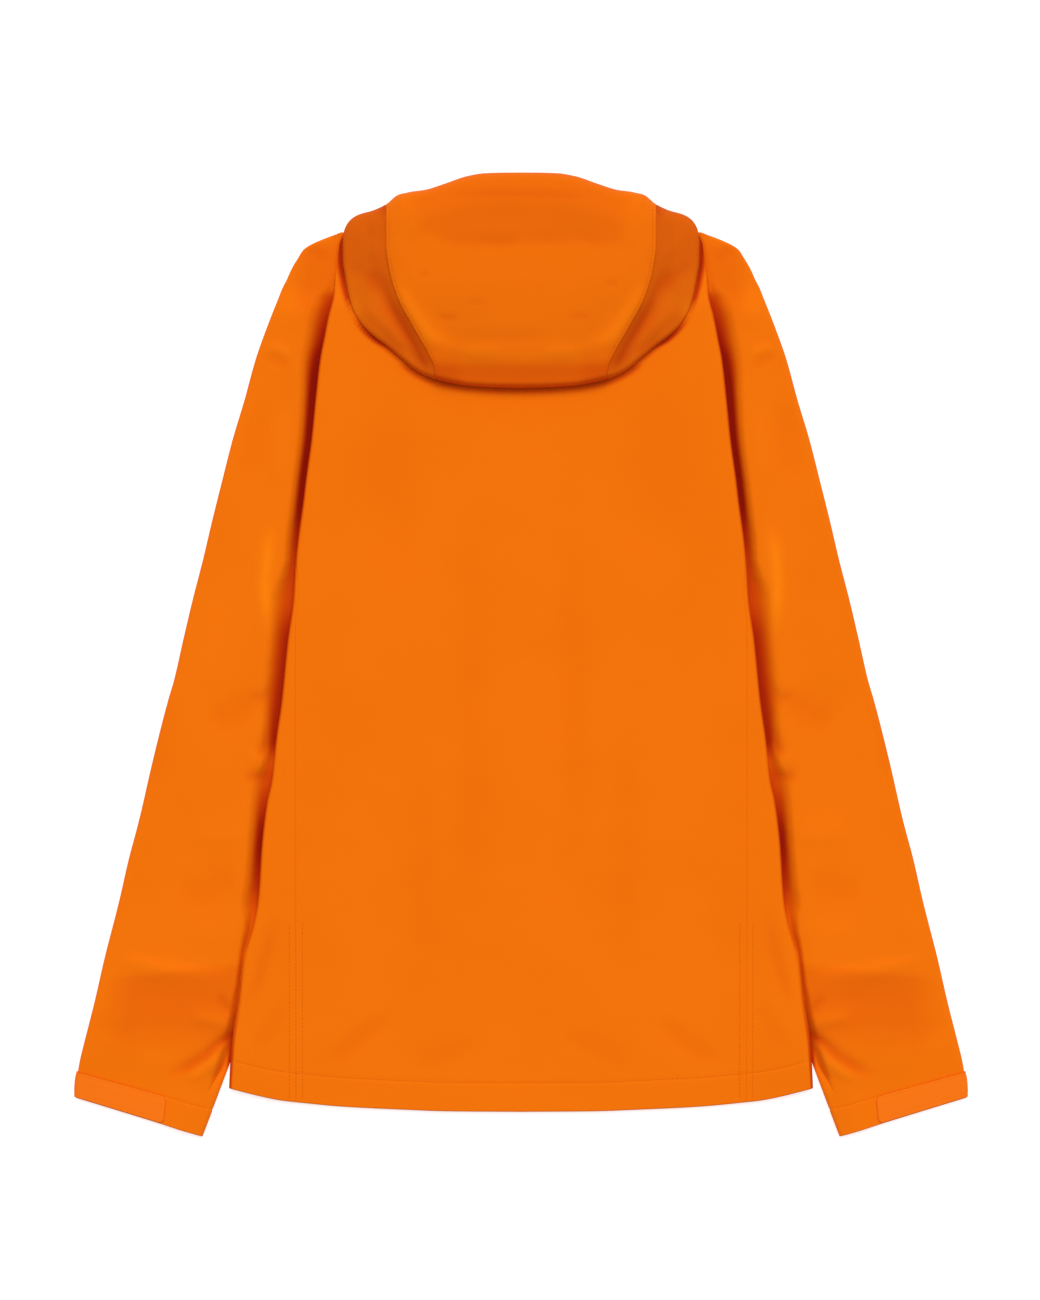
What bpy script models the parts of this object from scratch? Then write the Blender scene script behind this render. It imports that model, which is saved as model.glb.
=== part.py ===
"""Shell jacket laid flat on its front: back up (+Z), hood folded onto the back at +Y, sleeves down at both sides.

Tables are in millimetres and hold the right half (+X); the left half is its mirror. Every cloth piece is a middle
surface, given as rows of points, with a wall of even thickness built around it."""

import math

import bpy
import numpy as np

MM = 0.001
WALL = 1.2  # cloth
TAB_WALL = 2.0  # cuff tab, two layers with hook tape
TAPE_WALL = 0.8  # zip tape
SEAM = 0.3  # between the edges of two pieces sewn together
FLOOR_Z = 0.6  # middle of a wall lying on the floor
TUCKED_Z = 2.4  # middle of the sleeve's upper wall where the body lies on it
FULL_Z = 5.4  # middle of the back elsewhere
SLEEVE_Z = 6.6  # middle of the sleeve's upper wall clear of the body
SLEEVE_RISE = 13.0  # how far past the body's folded edge it gets there
RAISED = 3.6  # how far the tucked sleeve lifts the body's layers
RAMP = 24.0  # width of that slope, in from the sleeve's inner edge
ROLL = 2.4  # middle radius of a folded edge
CUFF_DROP = 1.8
TAB_LENGTH = 82.0
TAB_WIDTH = 25.0
FRONT_EDGE = 4.8  # half the zip channel
HOOD_ROLL = (12.0, 26.0)  # how far in from its outline the hood reaches its height: side panels, centre panel
HOOD_SEAM_GAP = 0.8  # the two panels meet in a valley there, so their outer faces come closer than their middles
HOOD_CORE_GAP = 3.0
HOOD_COLUMNS = (-1, -0.94, -0.87, -0.78, -0.66, -0.5, -0.25, 0, 0.25, 0.5, 0.66, 0.78, 0.87, 0.94, 1)

# Half-width of the back where its side folds under, by Y. Above 308 it's the seam with the sleeve.
SIDE_FOLD = dict(
    y=(-391, -370, -345, -300, -255, -210, -165, -120, -75, -30, 10, 45, 72, 84, 110, 140, 175, 215, 255, 292, 308,
       330, 352, 363),
    x=(251, 250, 248.5, 243, 237, 227, 223.5, 216.5, 212, 206, 202, 197, 194.5, 193.5, 191, 187.5, 183, 179, 174, 166,
       163, 160, 157, 152),
)
# Inner edge of the sleeve under the body, by Y. Above 84 it's the back half of the armhole seam.
SLEEVE_INNER = dict(
    y=(-413, -353, 75, 84, 110, 140, 175, 215, 255, 292, 308),
    x=(273.5, 251, 92, 95, 112, 127, 139, 148.5, 154, 158, 163),
)
# Front half of the armhole seam, by Y.
FRONT_ARMHOLE = dict(
    y=(84, 110, 140, 175, 215, 255, 292, 308, 330, 363),
    x=(89, 104, 114, 121, 127, 132, 138, 141, 146, 152),
)
HEM = dict(x=(0, 60, 104, 154, 190, 206, 216, 250), y=(-392, -392, -390, -387, -384, -382, -380, -372))
BACK_TOP = dict(x=(0, 92, 152), y=(374, 378, 363))
FRONT_TOP = dict(x=(4.8, 40, 70, 92, 152), y=(332, 343, 360, 378, 363))
COLLAR_TOP = dict(x=(0, 60, 90), y=(402, 398, 391))
# The edge of what lies under the hood, by X.
UNDER_HOOD_EDGE = dict(x=(0, 60, 88, 100, 152, 160), y=(402, 398, 392, 380, 364, 361))
BODY_ROWS = (-345, -300, -255, -210, -165, -120, -75, -30, 10, 45, 72, 84, 110, 140, 175, 215, 255, 292, 308, 330)
# Sleeve rows above the armpit: Y on the armhole seams, and where each row meets the outline.
OPEN_ROWS = dict(
    seam_y=(357, 345, 330, 308, 292, 255, 215, 175, 140, 110, 92),
    outline=((163, 360.5), (173, 357), (186, 349), (198, 331), (209, 306), (223, 266), (238, 219), (254, 157),
             (264.5, 119), (273, 82), (280.5, 50)),
)
# Sleeve rows from the armpit to the cuff: Y of the inner edge and of the outline.
TUBE_ROWS = dict(
    inner=(75, 20, -35, -90, -145, -200, -250, -300, -345, -380, -413),
    outer=(28, -16, -60, -104, -148, -192, -233, -275, -313, -348, -383),
)
SLEEVE_OUTLINE = dict(
    y=(-383, -356, -331, -297, -262, -211, -142, -90, -22, 28),
    x=(382, 379.5, 375, 366, 358, 345, 328, 316, 298, 286.5),
)
HOOD_OUTLINE = dict(
    x=(0, 50, 80, 97, 112, 137, 146, 152, 156, 155, 149, 142, 130, 118, 110, 104, 90, 64, 38, 0),
    y=(229, 231, 236, 246, 261, 283, 300, 334, 359, 364, 371, 377.5, 381, 385.5, 391.5, 394, 398, 405, 411, 413),
)
HOOD_BOTTOM = dict(x=(0, 50, 80), y=(229, 231, 236))
HOOD_TOP = dict(x=(0, 38, 64, 90, 104, 110, 118), y=(413, 411, 405, 398, 394, 391.5, 385.5))
HOOD_SEAM = dict(y=(234, 247, 258, 280, 305, 327, 351, 390), x=(73, 74.5, 79, 90, 104, 112, 115, 115))
HOOD_SIDE_ENDS = ((78, 235.7), (119.5, 385))  # where the side panel's seam ends meet the outline
# Height of the hood's middle surface well inside its outline, by distance outwards from the centre panel's seam.
HOOD_HEIGHT = dict(out=(-115, -60, -35, -20, -9, 0, 10, 25, 60), z=(36, 35.5, 33, 28, 22, 17, 17, 17, 14))

ZIP_ROWS = dict(y=(-386, -250, -100, 50, 200, 320, 366, 378, 387), z=(2.2, 2.2, 2.2, 2.2, 2.2, 2.2, 2.2, 3.1, 3.1))
TAPE_WIDTH = 14.0
SLIDER = dict(half_width=4.2, hem_end=375.0, neck_end=391.0, post=387.5, outer=(1.7, 2.4), inner=(3.8, 4.4))
BAIL = dict(half_width=0.8, hem_end=379.0, neck_end=386.0, bottom=0.1, wall=0.4, leg=0.8)
HINGE = (382.5, 1.1)  # Y and Z of the pull tab's axis, along X
PULL = dict(
    y=(0.35, -0.35, -4.8, -6.5, -9.0, -18.0, -22.0, -24.0),
    half_width=(2.3, 2.3, 2.3, 2.3, 3.0, 3.4, 2.8, 1.6),
    half_wall=(0.3, 0.3, 0.4, 0.4, 0.45, 0.45, 0.45, 0.45),
)
PULL_SLOT = 1.25


def smooth(t):
    t = min(max(t, 0.0), 1.0)
    return t * t * (3 - 2 * t)


def at(table, key, value, where):
    """The table's value at a place between its entries; the key column may rise or fall."""
    keys, values = table[key], table[value]
    if keys[0] > keys[-1]:
        keys, values = keys[::-1], values[::-1]
    return float(np.interp(where, keys, values))


def fold_x(y):
    return at(SIDE_FOLD, "y", "x", y)


def inner_x(y):
    return at(SLEEVE_INNER, "y", "x", y)


def raised(x, y):
    """0 to 1: how far the body's layers are lifted here by the sleeve tucked under them."""
    return smooth((abs(x) - inner_x(y)) / RAMP + 1) * smooth((330 - y) / 22)


def back_z(x, y):
    return FULL_Z + RAISED * raised(x, y)


def under_z(x, y):
    return FLOOR_Z + RAISED * raised(x, y)


def wall_object(name, points, faces, half_wall, colour):
    """A closed wall around a middle surface: both sides, and a rim along its open edges."""
    points = np.asarray(points, float)
    half = np.broadcast_to(np.asarray(half_wall, float).reshape(-1, 1), (len(points), 1))
    triangles = np.array([corner for a, b, c, d in faces for corner in ((a, b, c), (a, c, d))])
    a, b, c = (points[triangles[:, i]] for i in range(3))
    normals = np.zeros_like(points)
    for i in range(3):
        np.add.at(normals, triangles[:, i], np.cross(b - a, c - a))
    normals /= np.linalg.norm(normals, axis=1, keepdims=True)
    count = len(points)
    both = np.vstack([points + normals * half, points - normals * half])
    edges = {(t[i], t[(i + 1) % 3]) for t in triangles.tolist() for i in range(3)}
    rim = [(start, end) for start, end in sorted(edges) if (end, start) not in edges]
    shell = triangles.tolist() + (triangles[:, ::-1] + count).tolist()
    for start, end in rim:
        shell.append((end, start, start + count))
        shell.append((end, start + count, end + count))
    return new_object(name, both, shell, colour)


def new_object(name, points, faces, colour):
    mesh = bpy.data.meshes.new(name)
    mesh.from_pydata([tuple(point * MM) for point in np.asarray(points, float)], [], faces)
    obj = bpy.data.objects.new(name, mesh)
    bpy.context.scene.collection.objects.link(obj)
    material = bpy.data.materials.new(name)
    material.use_nodes = True
    shader = material.node_tree.nodes["Principled BSDF"]
    shader.inputs["Base Color"].default_value = (*colour, 1)
    shader.inputs["Roughness"].default_value = 0.75
    mesh.materials.append(material)
    return obj


def grid_faces(rows, columns, index=lambda row, column, width: row * width + column, skip=()):
    """Quads between neighbouring rows and columns of a grid of points."""
    return [
        (
            index(row, column, columns),
            index(row, column + 1, columns),
            index(row + 1, column + 1, columns),
            index(row + 1, column, columns),
        )
        for row in range(rows - 1)
        for column in range(columns - 1)
        if (row, column) not in skip
    ]


def cloth(name, grid, colour, half_wall=WALL / 2):
    rows, columns = len(grid), len(grid[0])
    points = [point for row in grid for point in row]
    return wall_object(name, points, grid_faces(rows, columns), half_wall, colour)


def both_sides(name, grid, colour, **options):
    for side, sign in (("right", 1), ("left", -1)):
        mirrored = [[(sign * x, y, z) for x, y, z in row] for row in grid]
        cloth(f"{name}_{side}", mirrored, colour, **options)


def spread(start, end, count):
    return [start + (end - start) * i / count for i in range(count + 1)]


# ---- body ----


def seam_arc(y):
    """Where the back's side seam lies, measured along the cloth from the top of the folded edge."""
    on_top = 193.0 - (fold_x(y) - WALL / 2 - ROLL)
    quarter = ROLL * math.pi / 2
    return min(on_top, 0.0) if y < 45 else quarter * smooth((y - 45) / 65)


def edge_point(y, arc):
    """(x, z) on the back's side, at a length along the cloth from the top of its folded edge."""
    top_x = fold_x(y) - WALL / 2 - ROLL
    if arc <= 0:
        return top_x + arc, back_z(top_x + arc, y)
    angle = arc / ROLL
    drop = ROLL * (1 - math.cos(angle)) * smooth((330 - y) / 22)
    return top_x + ROLL * math.sin(angle), back_z(top_x, y) - drop


def back_columns(y):
    """(x, z) from the middle of the back to its side seam."""
    end = seam_arc(y) - SEAM / 2
    top_x = fold_x(y) - WALL / 2 - ROLL
    last_flat = top_x + min(end, 0.0) - 2
    slope = [min(inner_x(y) + step, last_flat - 2 - back) for step, back in ((-24, 12), (-16, 9), (-8, 6), (0, 3))]
    flat = spread(0.0, slope[0], 3) + slope[1:] + [last_flat]
    return [(x, back_z(x, y)) for x in flat] + [edge_point(y, arc) for arc in spread(last_flat - top_x, end, 4)[1:]]


def shoulder_z(x, z, from_top):
    """The back turns down to the fronts along the shoulder."""
    radius = 3.0
    t = min(from_top / radius, 1.0)
    turned = 1 - math.sqrt(1 - (1 - t) ** 2)
    return z - (z - 1.5) * turned * smooth((abs(x) - 84) / 12)


def back_grid():
    grid = []
    right = back_columns(BODY_ROWS[0])
    grid.append([(x, at(HEM, "x", "y", x), z) for x, z in right])
    for y in BODY_ROWS:
        grid.append([(x, y, z) for x, z in back_columns(y)])
    for below_top in (14.0, 3.6, 1.5, 0.6):
        row = []
        for x, z in back_columns(352):
            x = x * 0.97
            row.append((x, at(BACK_TOP, "x", "y", x) - below_top, shoulder_z(x, z, below_top - 0.6)))
        grid.append(row)
    return [[(-x, y, z) for x, y, z in row[:0:-1]] + row for row in grid]


def side_grid():
    """The side panel, from the back's seam round the folded edge and under the body."""
    grid = []
    for y in BODY_ROWS[:1] + BODY_ROWS[: BODY_ROWS.index(292) + 1]:
        start = seam_arc(y) + SEAM / 2 + 0.4 * smooth((y - 45) / 30)
        bend = max(0.0, start + 0.6)
        top_x = fold_x(y) - WALL / 2 - ROLL
        section = [edge_point(y, arc) for arc in spread(start, bend, 2) + spread(bend, math.pi * ROLL, 5)[1:]]
        offsets = (0, -8, -16, -24, -26) if y < 80 else (2.8, 2.1, 1.4, 0.7, 0)
        nearest = [top_x - back for back in (6, 8, 10, 12, 14)]
        under = [min(inner_x(y) + offset, near) for offset, near in zip(offsets, nearest)]
        section += [(x, under_z(x, y)) for x in [(top_x + under[0]) / 2] + under]
        grid.append([(x, y, z) for x, z in section])
    hem_row = [(x, at(HEM, "x", "y", x) + 0.3 * column, z) for column, (x, y, z) in enumerate(grid[0])]
    return [hem_row] + grid[1:]


def front_edge_x(y):
    """Outer edge of the front: the side panel's seam, and above the armpit the armhole seam."""
    return inner_x(y) - 26 - SEAM if y < 80 else at(FRONT_ARMHOLE, "y", "x", y)


def front_grid():
    shares = (0, 0.12, 0.24, 0.44, 0.6, 0.8, 1)
    grid = []
    for y in BODY_ROWS:
        limit = min(front_edge_x(y), fold_x(y) - 17 - SEAM) if y == BODY_ROWS[0] else front_edge_x(y)
        grid.append([[FRONT_EDGE + (limit - FRONT_EDGE) * share, y, FLOOR_Z] for share in shares])
    grid.insert(0, [[x, at(HEM, "x", "y", x) + 4, z] for x, y, z in grid[0]])
    top = [[x, at(FRONT_TOP, "x", "y", x) - SEAM, FLOOR_Z] for x in (FRONT_EDGE, 22, 40, 70, 92, 122, 151.5)]
    for row_index, row in enumerate(grid):
        for column, point in enumerate(row):
            above = len(grid) - row_index
            point[1] = min(point[1], top[column][1] - 4.0 * above)
    grid.append(top)
    return grid


# ---- sleeve ----


def open_ends(y):
    """Ends of a sleeve row on the back and the front half of the armhole seam."""
    back_x = inner_x(y) if y < 300 else fold_x(y) + SEAM - 0.5 * smooth((y - 308) / 22)
    return (back_x, y), (at(FRONT_ARMHOLE, "y", "x", y) + SEAM, y)


def fold_crossing(start, outline):
    """How far along a sleeve row the body's folded edge lies over it."""
    length = math.dist(start, outline)
    for step in range(201):
        x = start[0] + (outline[0] - start[0]) * step / 200
        y = start[1] + (outline[1] - start[1]) * step / 200
        if x > fold_x(y) or y < -372:
            return max(length * step / 200, 2.6)
    return 2.6


def upper_z(y, past_fold):
    free = max(smooth((past_fold - 1.5) / SLEEVE_RISE), smooth((-350 - y) / 30))
    full = SLEEVE_Z - CUFF_DROP * smooth((-340 - y) / 50)
    seam = FULL_Z * smooth((y - 292) / 34)
    return max(TUCKED_Z, seam) * (1 - free) + full * free


def sleeve_row(upper_end, lower_end, outline, closed):
    """One row over the sleeve: from its inner end along the upper wall, round the outline and back under."""
    length = math.dist(upper_end, outline)
    crossing = fold_crossing(upper_end, outline)
    upper = [(b - a) / length for a, b in zip(upper_end, outline)]
    lower_length = math.dist(lower_end, outline)
    lower = [(b - a) / lower_length for a, b in zip(lower_end, outline)]

    def on_upper(along, z=None):
        x, y = (end + step * along for end, step in zip(upper_end, upper))
        return (x, y, upper_z(y, along - crossing) if z is None else z)

    def on_lower(along, z=FLOOR_Z):
        x, y = (end + step * along for end, step in zip(lower_end, lower))
        return (x, y, z)

    tip = (on_upper(2.0)[2] - FLOOR_Z) / 2
    if closed:
        turn = [(WALL / 2 + tip * (1 - math.sin(angle)), FLOOR_Z + tip * (1 + math.cos(angle)))
                for angle in (math.pi / 2, math.pi / 4, 0)]
        start = [on_upper(along, z) for along, z in turn]
        end = [on_lower(along, 2 * (FLOOR_Z + tip) - z) for along, z in turn[::-1]]
        first = WALL / 2 + tip
    else:
        start = [on_upper(along) for along in (0.0, 0.8, 1.6)]
        end = [on_lower(along) for along in (1.6, 0.8, 0.0)]
        first = 1.6
    rim = (on_upper(length - 3)[2] - FLOOR_Z) / 2
    last = length - WALL / 2 - rim
    rise = min(SLEEVE_RISE + 1.5, (last - crossing) * 0.6)
    stops = [first + (crossing - first) * 0.5] if crossing > first + 2 else [first + 0.3]
    stops += [max(crossing, first + 0.6) + rise * part for part in (0.1, 0.4, 0.7, 1)]
    stops += [(stops[-1] + last) / 2, last]
    wall = [on_upper(along) for along in stops]
    bend = []
    for angle in (45, 0, -45, -90):
        out = WALL / 2 + rim * (1 - math.cos(math.radians(angle)))
        share = (90 - angle) / 180
        step = [a + (b - a) * share for a, b in zip(upper, lower)]
        bend.append((outline[0] - step[0] * out, outline[1] - step[1] * out,
                     FLOOR_Z + rim + rim * math.sin(math.radians(angle))))
    back = lower_length - WALL / 2 - rim
    under_start = first if closed else 1.6
    under = [on_lower(along) for along in spread(back, under_start, 3)[1:-1]]
    return start + wall + bend + under + end


def tube_station(place):
    """Inner edge and outline of the sleeve between the armpit (0) and the cuff (1)."""
    count = len(TUBE_ROWS["inner"]) - 1
    inner_y = float(np.interp(place * count, range(count + 1), TUBE_ROWS["inner"]))
    outer_y = float(np.interp(place * count, range(count + 1), TUBE_ROWS["outer"]))
    return (inner_x(inner_y), inner_y), (at(SLEEVE_OUTLINE, "y", "x", outer_y), outer_y)


def sleeve(side, sign, colour):
    rows = [
        sleeve_row(*open_ends(y), outline, closed=False)
        for y, outline in zip(OPEN_ROWS["seam_y"], OPEN_ROWS["outline"])
    ]
    open_rows = len(rows)
    for place in spread(0, 1, len(TUBE_ROWS["inner"]) - 1):
        inner, outline = tube_station(place)
        rows.append(sleeve_row(inner, inner, outline, closed=True))
    columns = len(rows[0])
    points = [(sign * x, y, z) for row in rows[:open_rows] for x, y, z in row]
    points += [(sign * x, y, z) for row in rows[open_rows:] for x, y, z in row[:-1]]

    def index(row, column, width):
        if row < open_rows:
            return row * width + column
        return open_rows * width + (row - open_rows) * (width - 1) + column % (width - 1)

    wall_object(f"sleeve_{side}", points, grid_faces(len(rows), columns, index), WALL / 2, colour)


def cuff_tab_grid():
    """The tab lies on the sleeve's upper wall and over its outer edge: the wall's own points, moved out."""
    grid = []
    for from_cuff in (0.8, 9.0, 17.0, TAB_WIDTH):
        inner, outline = tube_station(1 - from_cuff / 340)
        row = sleeve_row(inner, inner, outline, closed=True)
        row = np.array(row)
        tip = int(np.argmax(row @ np.array([outline[0] - inner[0], outline[1] - inner[1], 0.0])))
        steps = np.linalg.norm(np.diff(row, axis=0), axis=1)
        arc = np.concatenate([[0], np.cumsum(steps)])
        arc -= arc[tip]
        wanted = (1.2, 0.0, -1.2, -2.4, -3.6, -14, -30, -48, -66, -TAB_LENGTH)
        line = np.array([[np.interp(w, arc, row[:, axis]) for axis in range(3)] for w in wanted])
        grid.append(line)
    grid = np.array(grid)
    across = np.gradient(grid, axis=1)
    along = np.gradient(grid, axis=0)
    out = np.cross(along, across)
    out /= np.linalg.norm(out, axis=2, keepdims=True)
    out *= np.sign(out[0, -1, 2])
    return (grid + out * (WALL / 2 + SEAM + TAB_WALL / 2)).tolist()


# ---- collar and hood ----


def collar_grid():
    """A strip from the zip round the neck and back to the zip, pressed flat."""
    outer = 92.0 - WALL / 2 - ROLL
    front = [(x, FLOOR_Z, 0.0) for x in (FRONT_EDGE + SEAM, 22, 40, 70, outer)]
    turn = [(outer + ROLL * math.sin(a), FLOOR_Z + ROLL * (1 - math.cos(a)), a / math.pi)
            for a in (math.pi / 4, math.pi / 2, math.pi * 3 / 4)]
    back = [(x, FULL_Z, 1.0) for x in spread(outer, 0.0, 4)]
    half = front + turn + back
    strip = half + [(-x, z, share) for x, z, share in half[-2::-1]]
    grid = []
    for level in spread(0, 1, 3):
        row = []
        for x, z, share in strip:
            low = at(FRONT_TOP, "x", "y", abs(x)) * (1 - share) + at(BACK_TOP, "x", "y", abs(x)) * share + SEAM
            low += 1.2 if 0 < share < 1 or abs(x) == outer else 0
            row.append((x, low + (at(COLLAR_TOP, "x", "y", abs(x)) - low) * level, z))
        grid.append(row)
    return grid


def outline_distance(x, y):
    """How far a point is inside the hood's outline."""
    point = np.array([abs(x), y])
    corners = np.column_stack([HOOD_OUTLINE["x"], HOOD_OUTLINE["y"]])
    start, step = corners[:-1], np.diff(corners, axis=0)
    share = np.clip(((point - start) * step).sum(axis=1) / (step**2).sum(axis=1), 0, 1)
    return float(np.linalg.norm(start + step * share[:, None] - point, axis=1).min())


def support_z(x, y):
    """Top of what the hood lies on, up to a little past its edge, and the floor beyond."""
    edge = at(UNDER_HOOD_EDGE, "x", "y", abs(x)) + 9
    return (FULL_Z + WALL / 2 + RAISED * raised(x, y)) * smooth((edge + 7 - y) / 7)


def hood_z(x, y):
    base = support_z(x, y) + 0.8
    out = abs(x) - at(HOOD_SEAM, "y", "x", y)
    roll = HOOD_ROLL[0] + (HOOD_ROLL[1] - HOOD_ROLL[0]) * smooth((5 - out) / 40)
    t = min(max((outline_distance(x, y) - WALL / 2) / roll, 0.0), 1.0)
    crown = at(HOOD_HEIGHT, "out", "z", out)
    return base + (crown - base) * math.sqrt(1 - (1 - t) ** 2)


EDGE_STEPS = (WALL / 2, WALL / 2 + 1.2, WALL / 2 + 4.0, WALL / 2 + 9.0, WALL / 2 + 16.0)


def hood_stops(share):
    """Y of the hood's rows, on a line this far from its middle to its seam."""
    low, high = at(HOOD_BOTTOM, "x", "y", share * 73), at(HOOD_TOP, "x", "y", share * 115)
    inner = EDGE_STEPS[-1]
    stops = [low + step for step in EDGE_STEPS] + spread(low + inner, high - inner, 5)[1:-1]
    return stops + [high - step for step in EDGE_STEPS[::-1]]


def hood_centre_grid():
    grid = []
    for share in HOOD_COLUMNS:
        line = [(share * at(HOOD_SEAM, "y", "x", y), y) for y in hood_stops(abs(share))]
        grid.append([(x, y, hood_z(x, y)) for x, y in line])
    return grid


def hood_edge(share):
    """A point on the hood's outline, this far along a side panel."""
    corners = list(zip(HOOD_OUTLINE["x"], HOOD_OUTLINE["y"]))
    start, end = HOOD_SIDE_ENDS
    path = [start] + [corner for corner in corners if corner[0] > 79 and corner[1] < 384] + [end]
    lengths = [math.dist(a, b) for a, b in zip(path, path[1:])]
    arc = np.concatenate([[0], np.cumsum(lengths)])
    return [float(np.interp(share * arc[-1], arc, [point[axis] for point in path])) for axis in (0, 1)]


def hood_side_grid():
    grid = []
    stops = hood_stops(1)
    for y in stops:
        seam = (at(HOOD_SEAM, "y", "x", y), y)
        edge = hood_edge((y - stops[0]) / (stops[-1] - stops[0]))
        length = math.dist(seam, edge)
        steps = [min(step, 0.8 * length * (i + 0.4) / 4.4) for i, step in enumerate(EDGE_STEPS)]
        from_edge = steps + [(steps[-1] + length) / 2, length]
        row = []
        for distance in from_edge[::-1]:
            x, y_here = (b + (a - b) * distance / length for a, b in zip(seam, edge))
            x += HOOD_SEAM_GAP * distance / length
            row.append((x, y_here, hood_z(x, y_here)))
        grid.append(row)
    return grid


def hood_core(colour):
    """The hood's folded inner layers, as one rounded solid under its outer panels: their points away from the edge."""
    centre = hood_centre_grid()
    rim = len(EDGE_STEPS) - 2
    rows = []
    for i, side_row in list(enumerate(hood_side_grid()))[rim:-rim]:
        right = [(x, y) for x, y, z in side_row[1:-rim]]
        middle = [(line[i][0], line[i][1]) for line in centre]
        rows.append([(-x, y) for x, y in right[::-1]] + middle + right)
    top = [(x, y, hood_z(x, y) - HOOD_CORE_GAP) for row in rows for x, y in row]
    bottom = [(x, y, min(support_z(x, y) + 0.9, z - 1)) for x, y, z in top]
    count, width = len(top), len(rows[0])
    upper = grid_faces(len(rows), width)
    edges = {(face[i], face[(i + 1) % 4]) for face in upper for i in range(4)}
    rim_edges = [(start, end) for start, end in sorted(edges) if (end, start) not in edges]
    faces = [corner for a, b, c, d in upper for corner in ((a, b, c), (a, c, d))]
    faces += [(a + count, c + count, b + count) for a, b, c in faces]
    for start, end in rim_edges:
        faces += [(end, start, start + count), (end, start + count, end + count)]
    new_object("hood_layers", top + bottom, faces, colour)


# ---- zip ----


def tape_grid():
    return [[(x, y, z) for x in (SEAM / 2, 2.4, TAPE_WIDTH)] for y, z in zip(ZIP_ROWS["y"], ZIP_ROWS["z"])]


def extrusion(name, outline, half_width, colour):
    """A (y, z) outline, anticlockwise seen from +X, extruded both ways along X."""
    count = len(outline)
    points = [(half_width, y, z) for y, z in outline] + [(-half_width, y, z) for y, z in outline]
    faces = [tuple(range(count)), tuple(range(2 * count - 1, count - 1, -1))]
    faces += [(i, i + count, (i + 1) % count + count, (i + 1) % count) for i in range(count)]
    return new_object(name, points, faces, colour)


def slider(colour):
    """Two plates round the closed zip, joined past its end, with the bail that holds the pull tab."""
    s, b = SLIDER, BAIL
    (outer_low, outer_high), (inner_low, inner_high) = s["outer"], s["inner"]
    body = [(s["hem_end"], outer_low), (s["neck_end"], outer_low), (s["neck_end"], inner_high),
            (s["hem_end"] + 2, inner_high), (s["hem_end"] + 2, inner_low), (s["post"], inner_low),
            (s["post"], outer_high), (s["hem_end"], outer_high)]
    plates = extrusion("zip_slider", body, s["half_width"], colour)
    low, top = b["bottom"], b["bottom"] + b["wall"]
    into = outer_low + 0.2
    arch = [(b["hem_end"], low), (b["neck_end"], low), (b["neck_end"], into), (b["neck_end"] - b["leg"], into),
            (b["neck_end"] - b["leg"], top), (b["hem_end"] + b["leg"], top), (b["hem_end"] + b["leg"], into),
            (b["hem_end"], into)]
    bail = extrusion("bail", arch, b["half_width"], colour)
    bail.hide_render = True
    bail.display_type = "WIRE"
    union = plates.modifiers.new("bail", "BOOLEAN")
    union.operation = "UNION"
    union.solver = "EXACT"
    union.object = bail


def pull_tab(colour):
    """A flat tab with a slot at its head: the bar past the slot turns inside the bail."""
    points, walls = [], []
    for y, half, wall in zip(PULL["y"], PULL["half_width"], PULL["half_wall"]):
        for x in (-half, -PULL_SLOT, PULL_SLOT, half):
            points.append((x, y, 0.0))
            walls.append(wall)
    rows = len(PULL["y"])
    pull = wall_object("zip_pull", points, grid_faces(rows, 4, skip=((1, 1),)), walls, colour)
    pull.location = (0, HINGE[0] * MM, HINGE[1] * MM)


ORANGE = (0.88, 0.17, 0.004)
HOOD = (0.78, 0.14, 0.004)
TAB = (0.9, 0.19, 0.01)
CORE = (0.62, 0.1, 0.004)
METAL = (0.35, 0.35, 0.36)


def main():
    for old in list(bpy.data.objects):
        bpy.data.objects.remove(old)
    cloth("back", back_grid(), ORANGE)
    both_sides("side", side_grid(), ORANGE)
    both_sides("front", front_grid(), ORANGE)
    for side, sign in (("right", 1), ("left", -1)):
        sleeve(side, sign, ORANGE)
    both_sides("cuff_tab", cuff_tab_grid(), TAB, half_wall=TAB_WALL / 2)
    cloth("collar", collar_grid(), ORANGE)
    cloth("hood_centre", hood_centre_grid(), HOOD)
    both_sides("hood_side", hood_side_grid(), HOOD)
    hood_core(CORE)
    both_sides("zip_tape", tape_grid(), ORANGE, half_wall=TAPE_WALL / 2)
    slider(METAL)
    pull_tab(METAL)


main()
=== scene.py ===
"""Shell jacket laid flat on its front: dressed cloth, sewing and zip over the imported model."""

import math
from typing import NamedTuple

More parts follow.
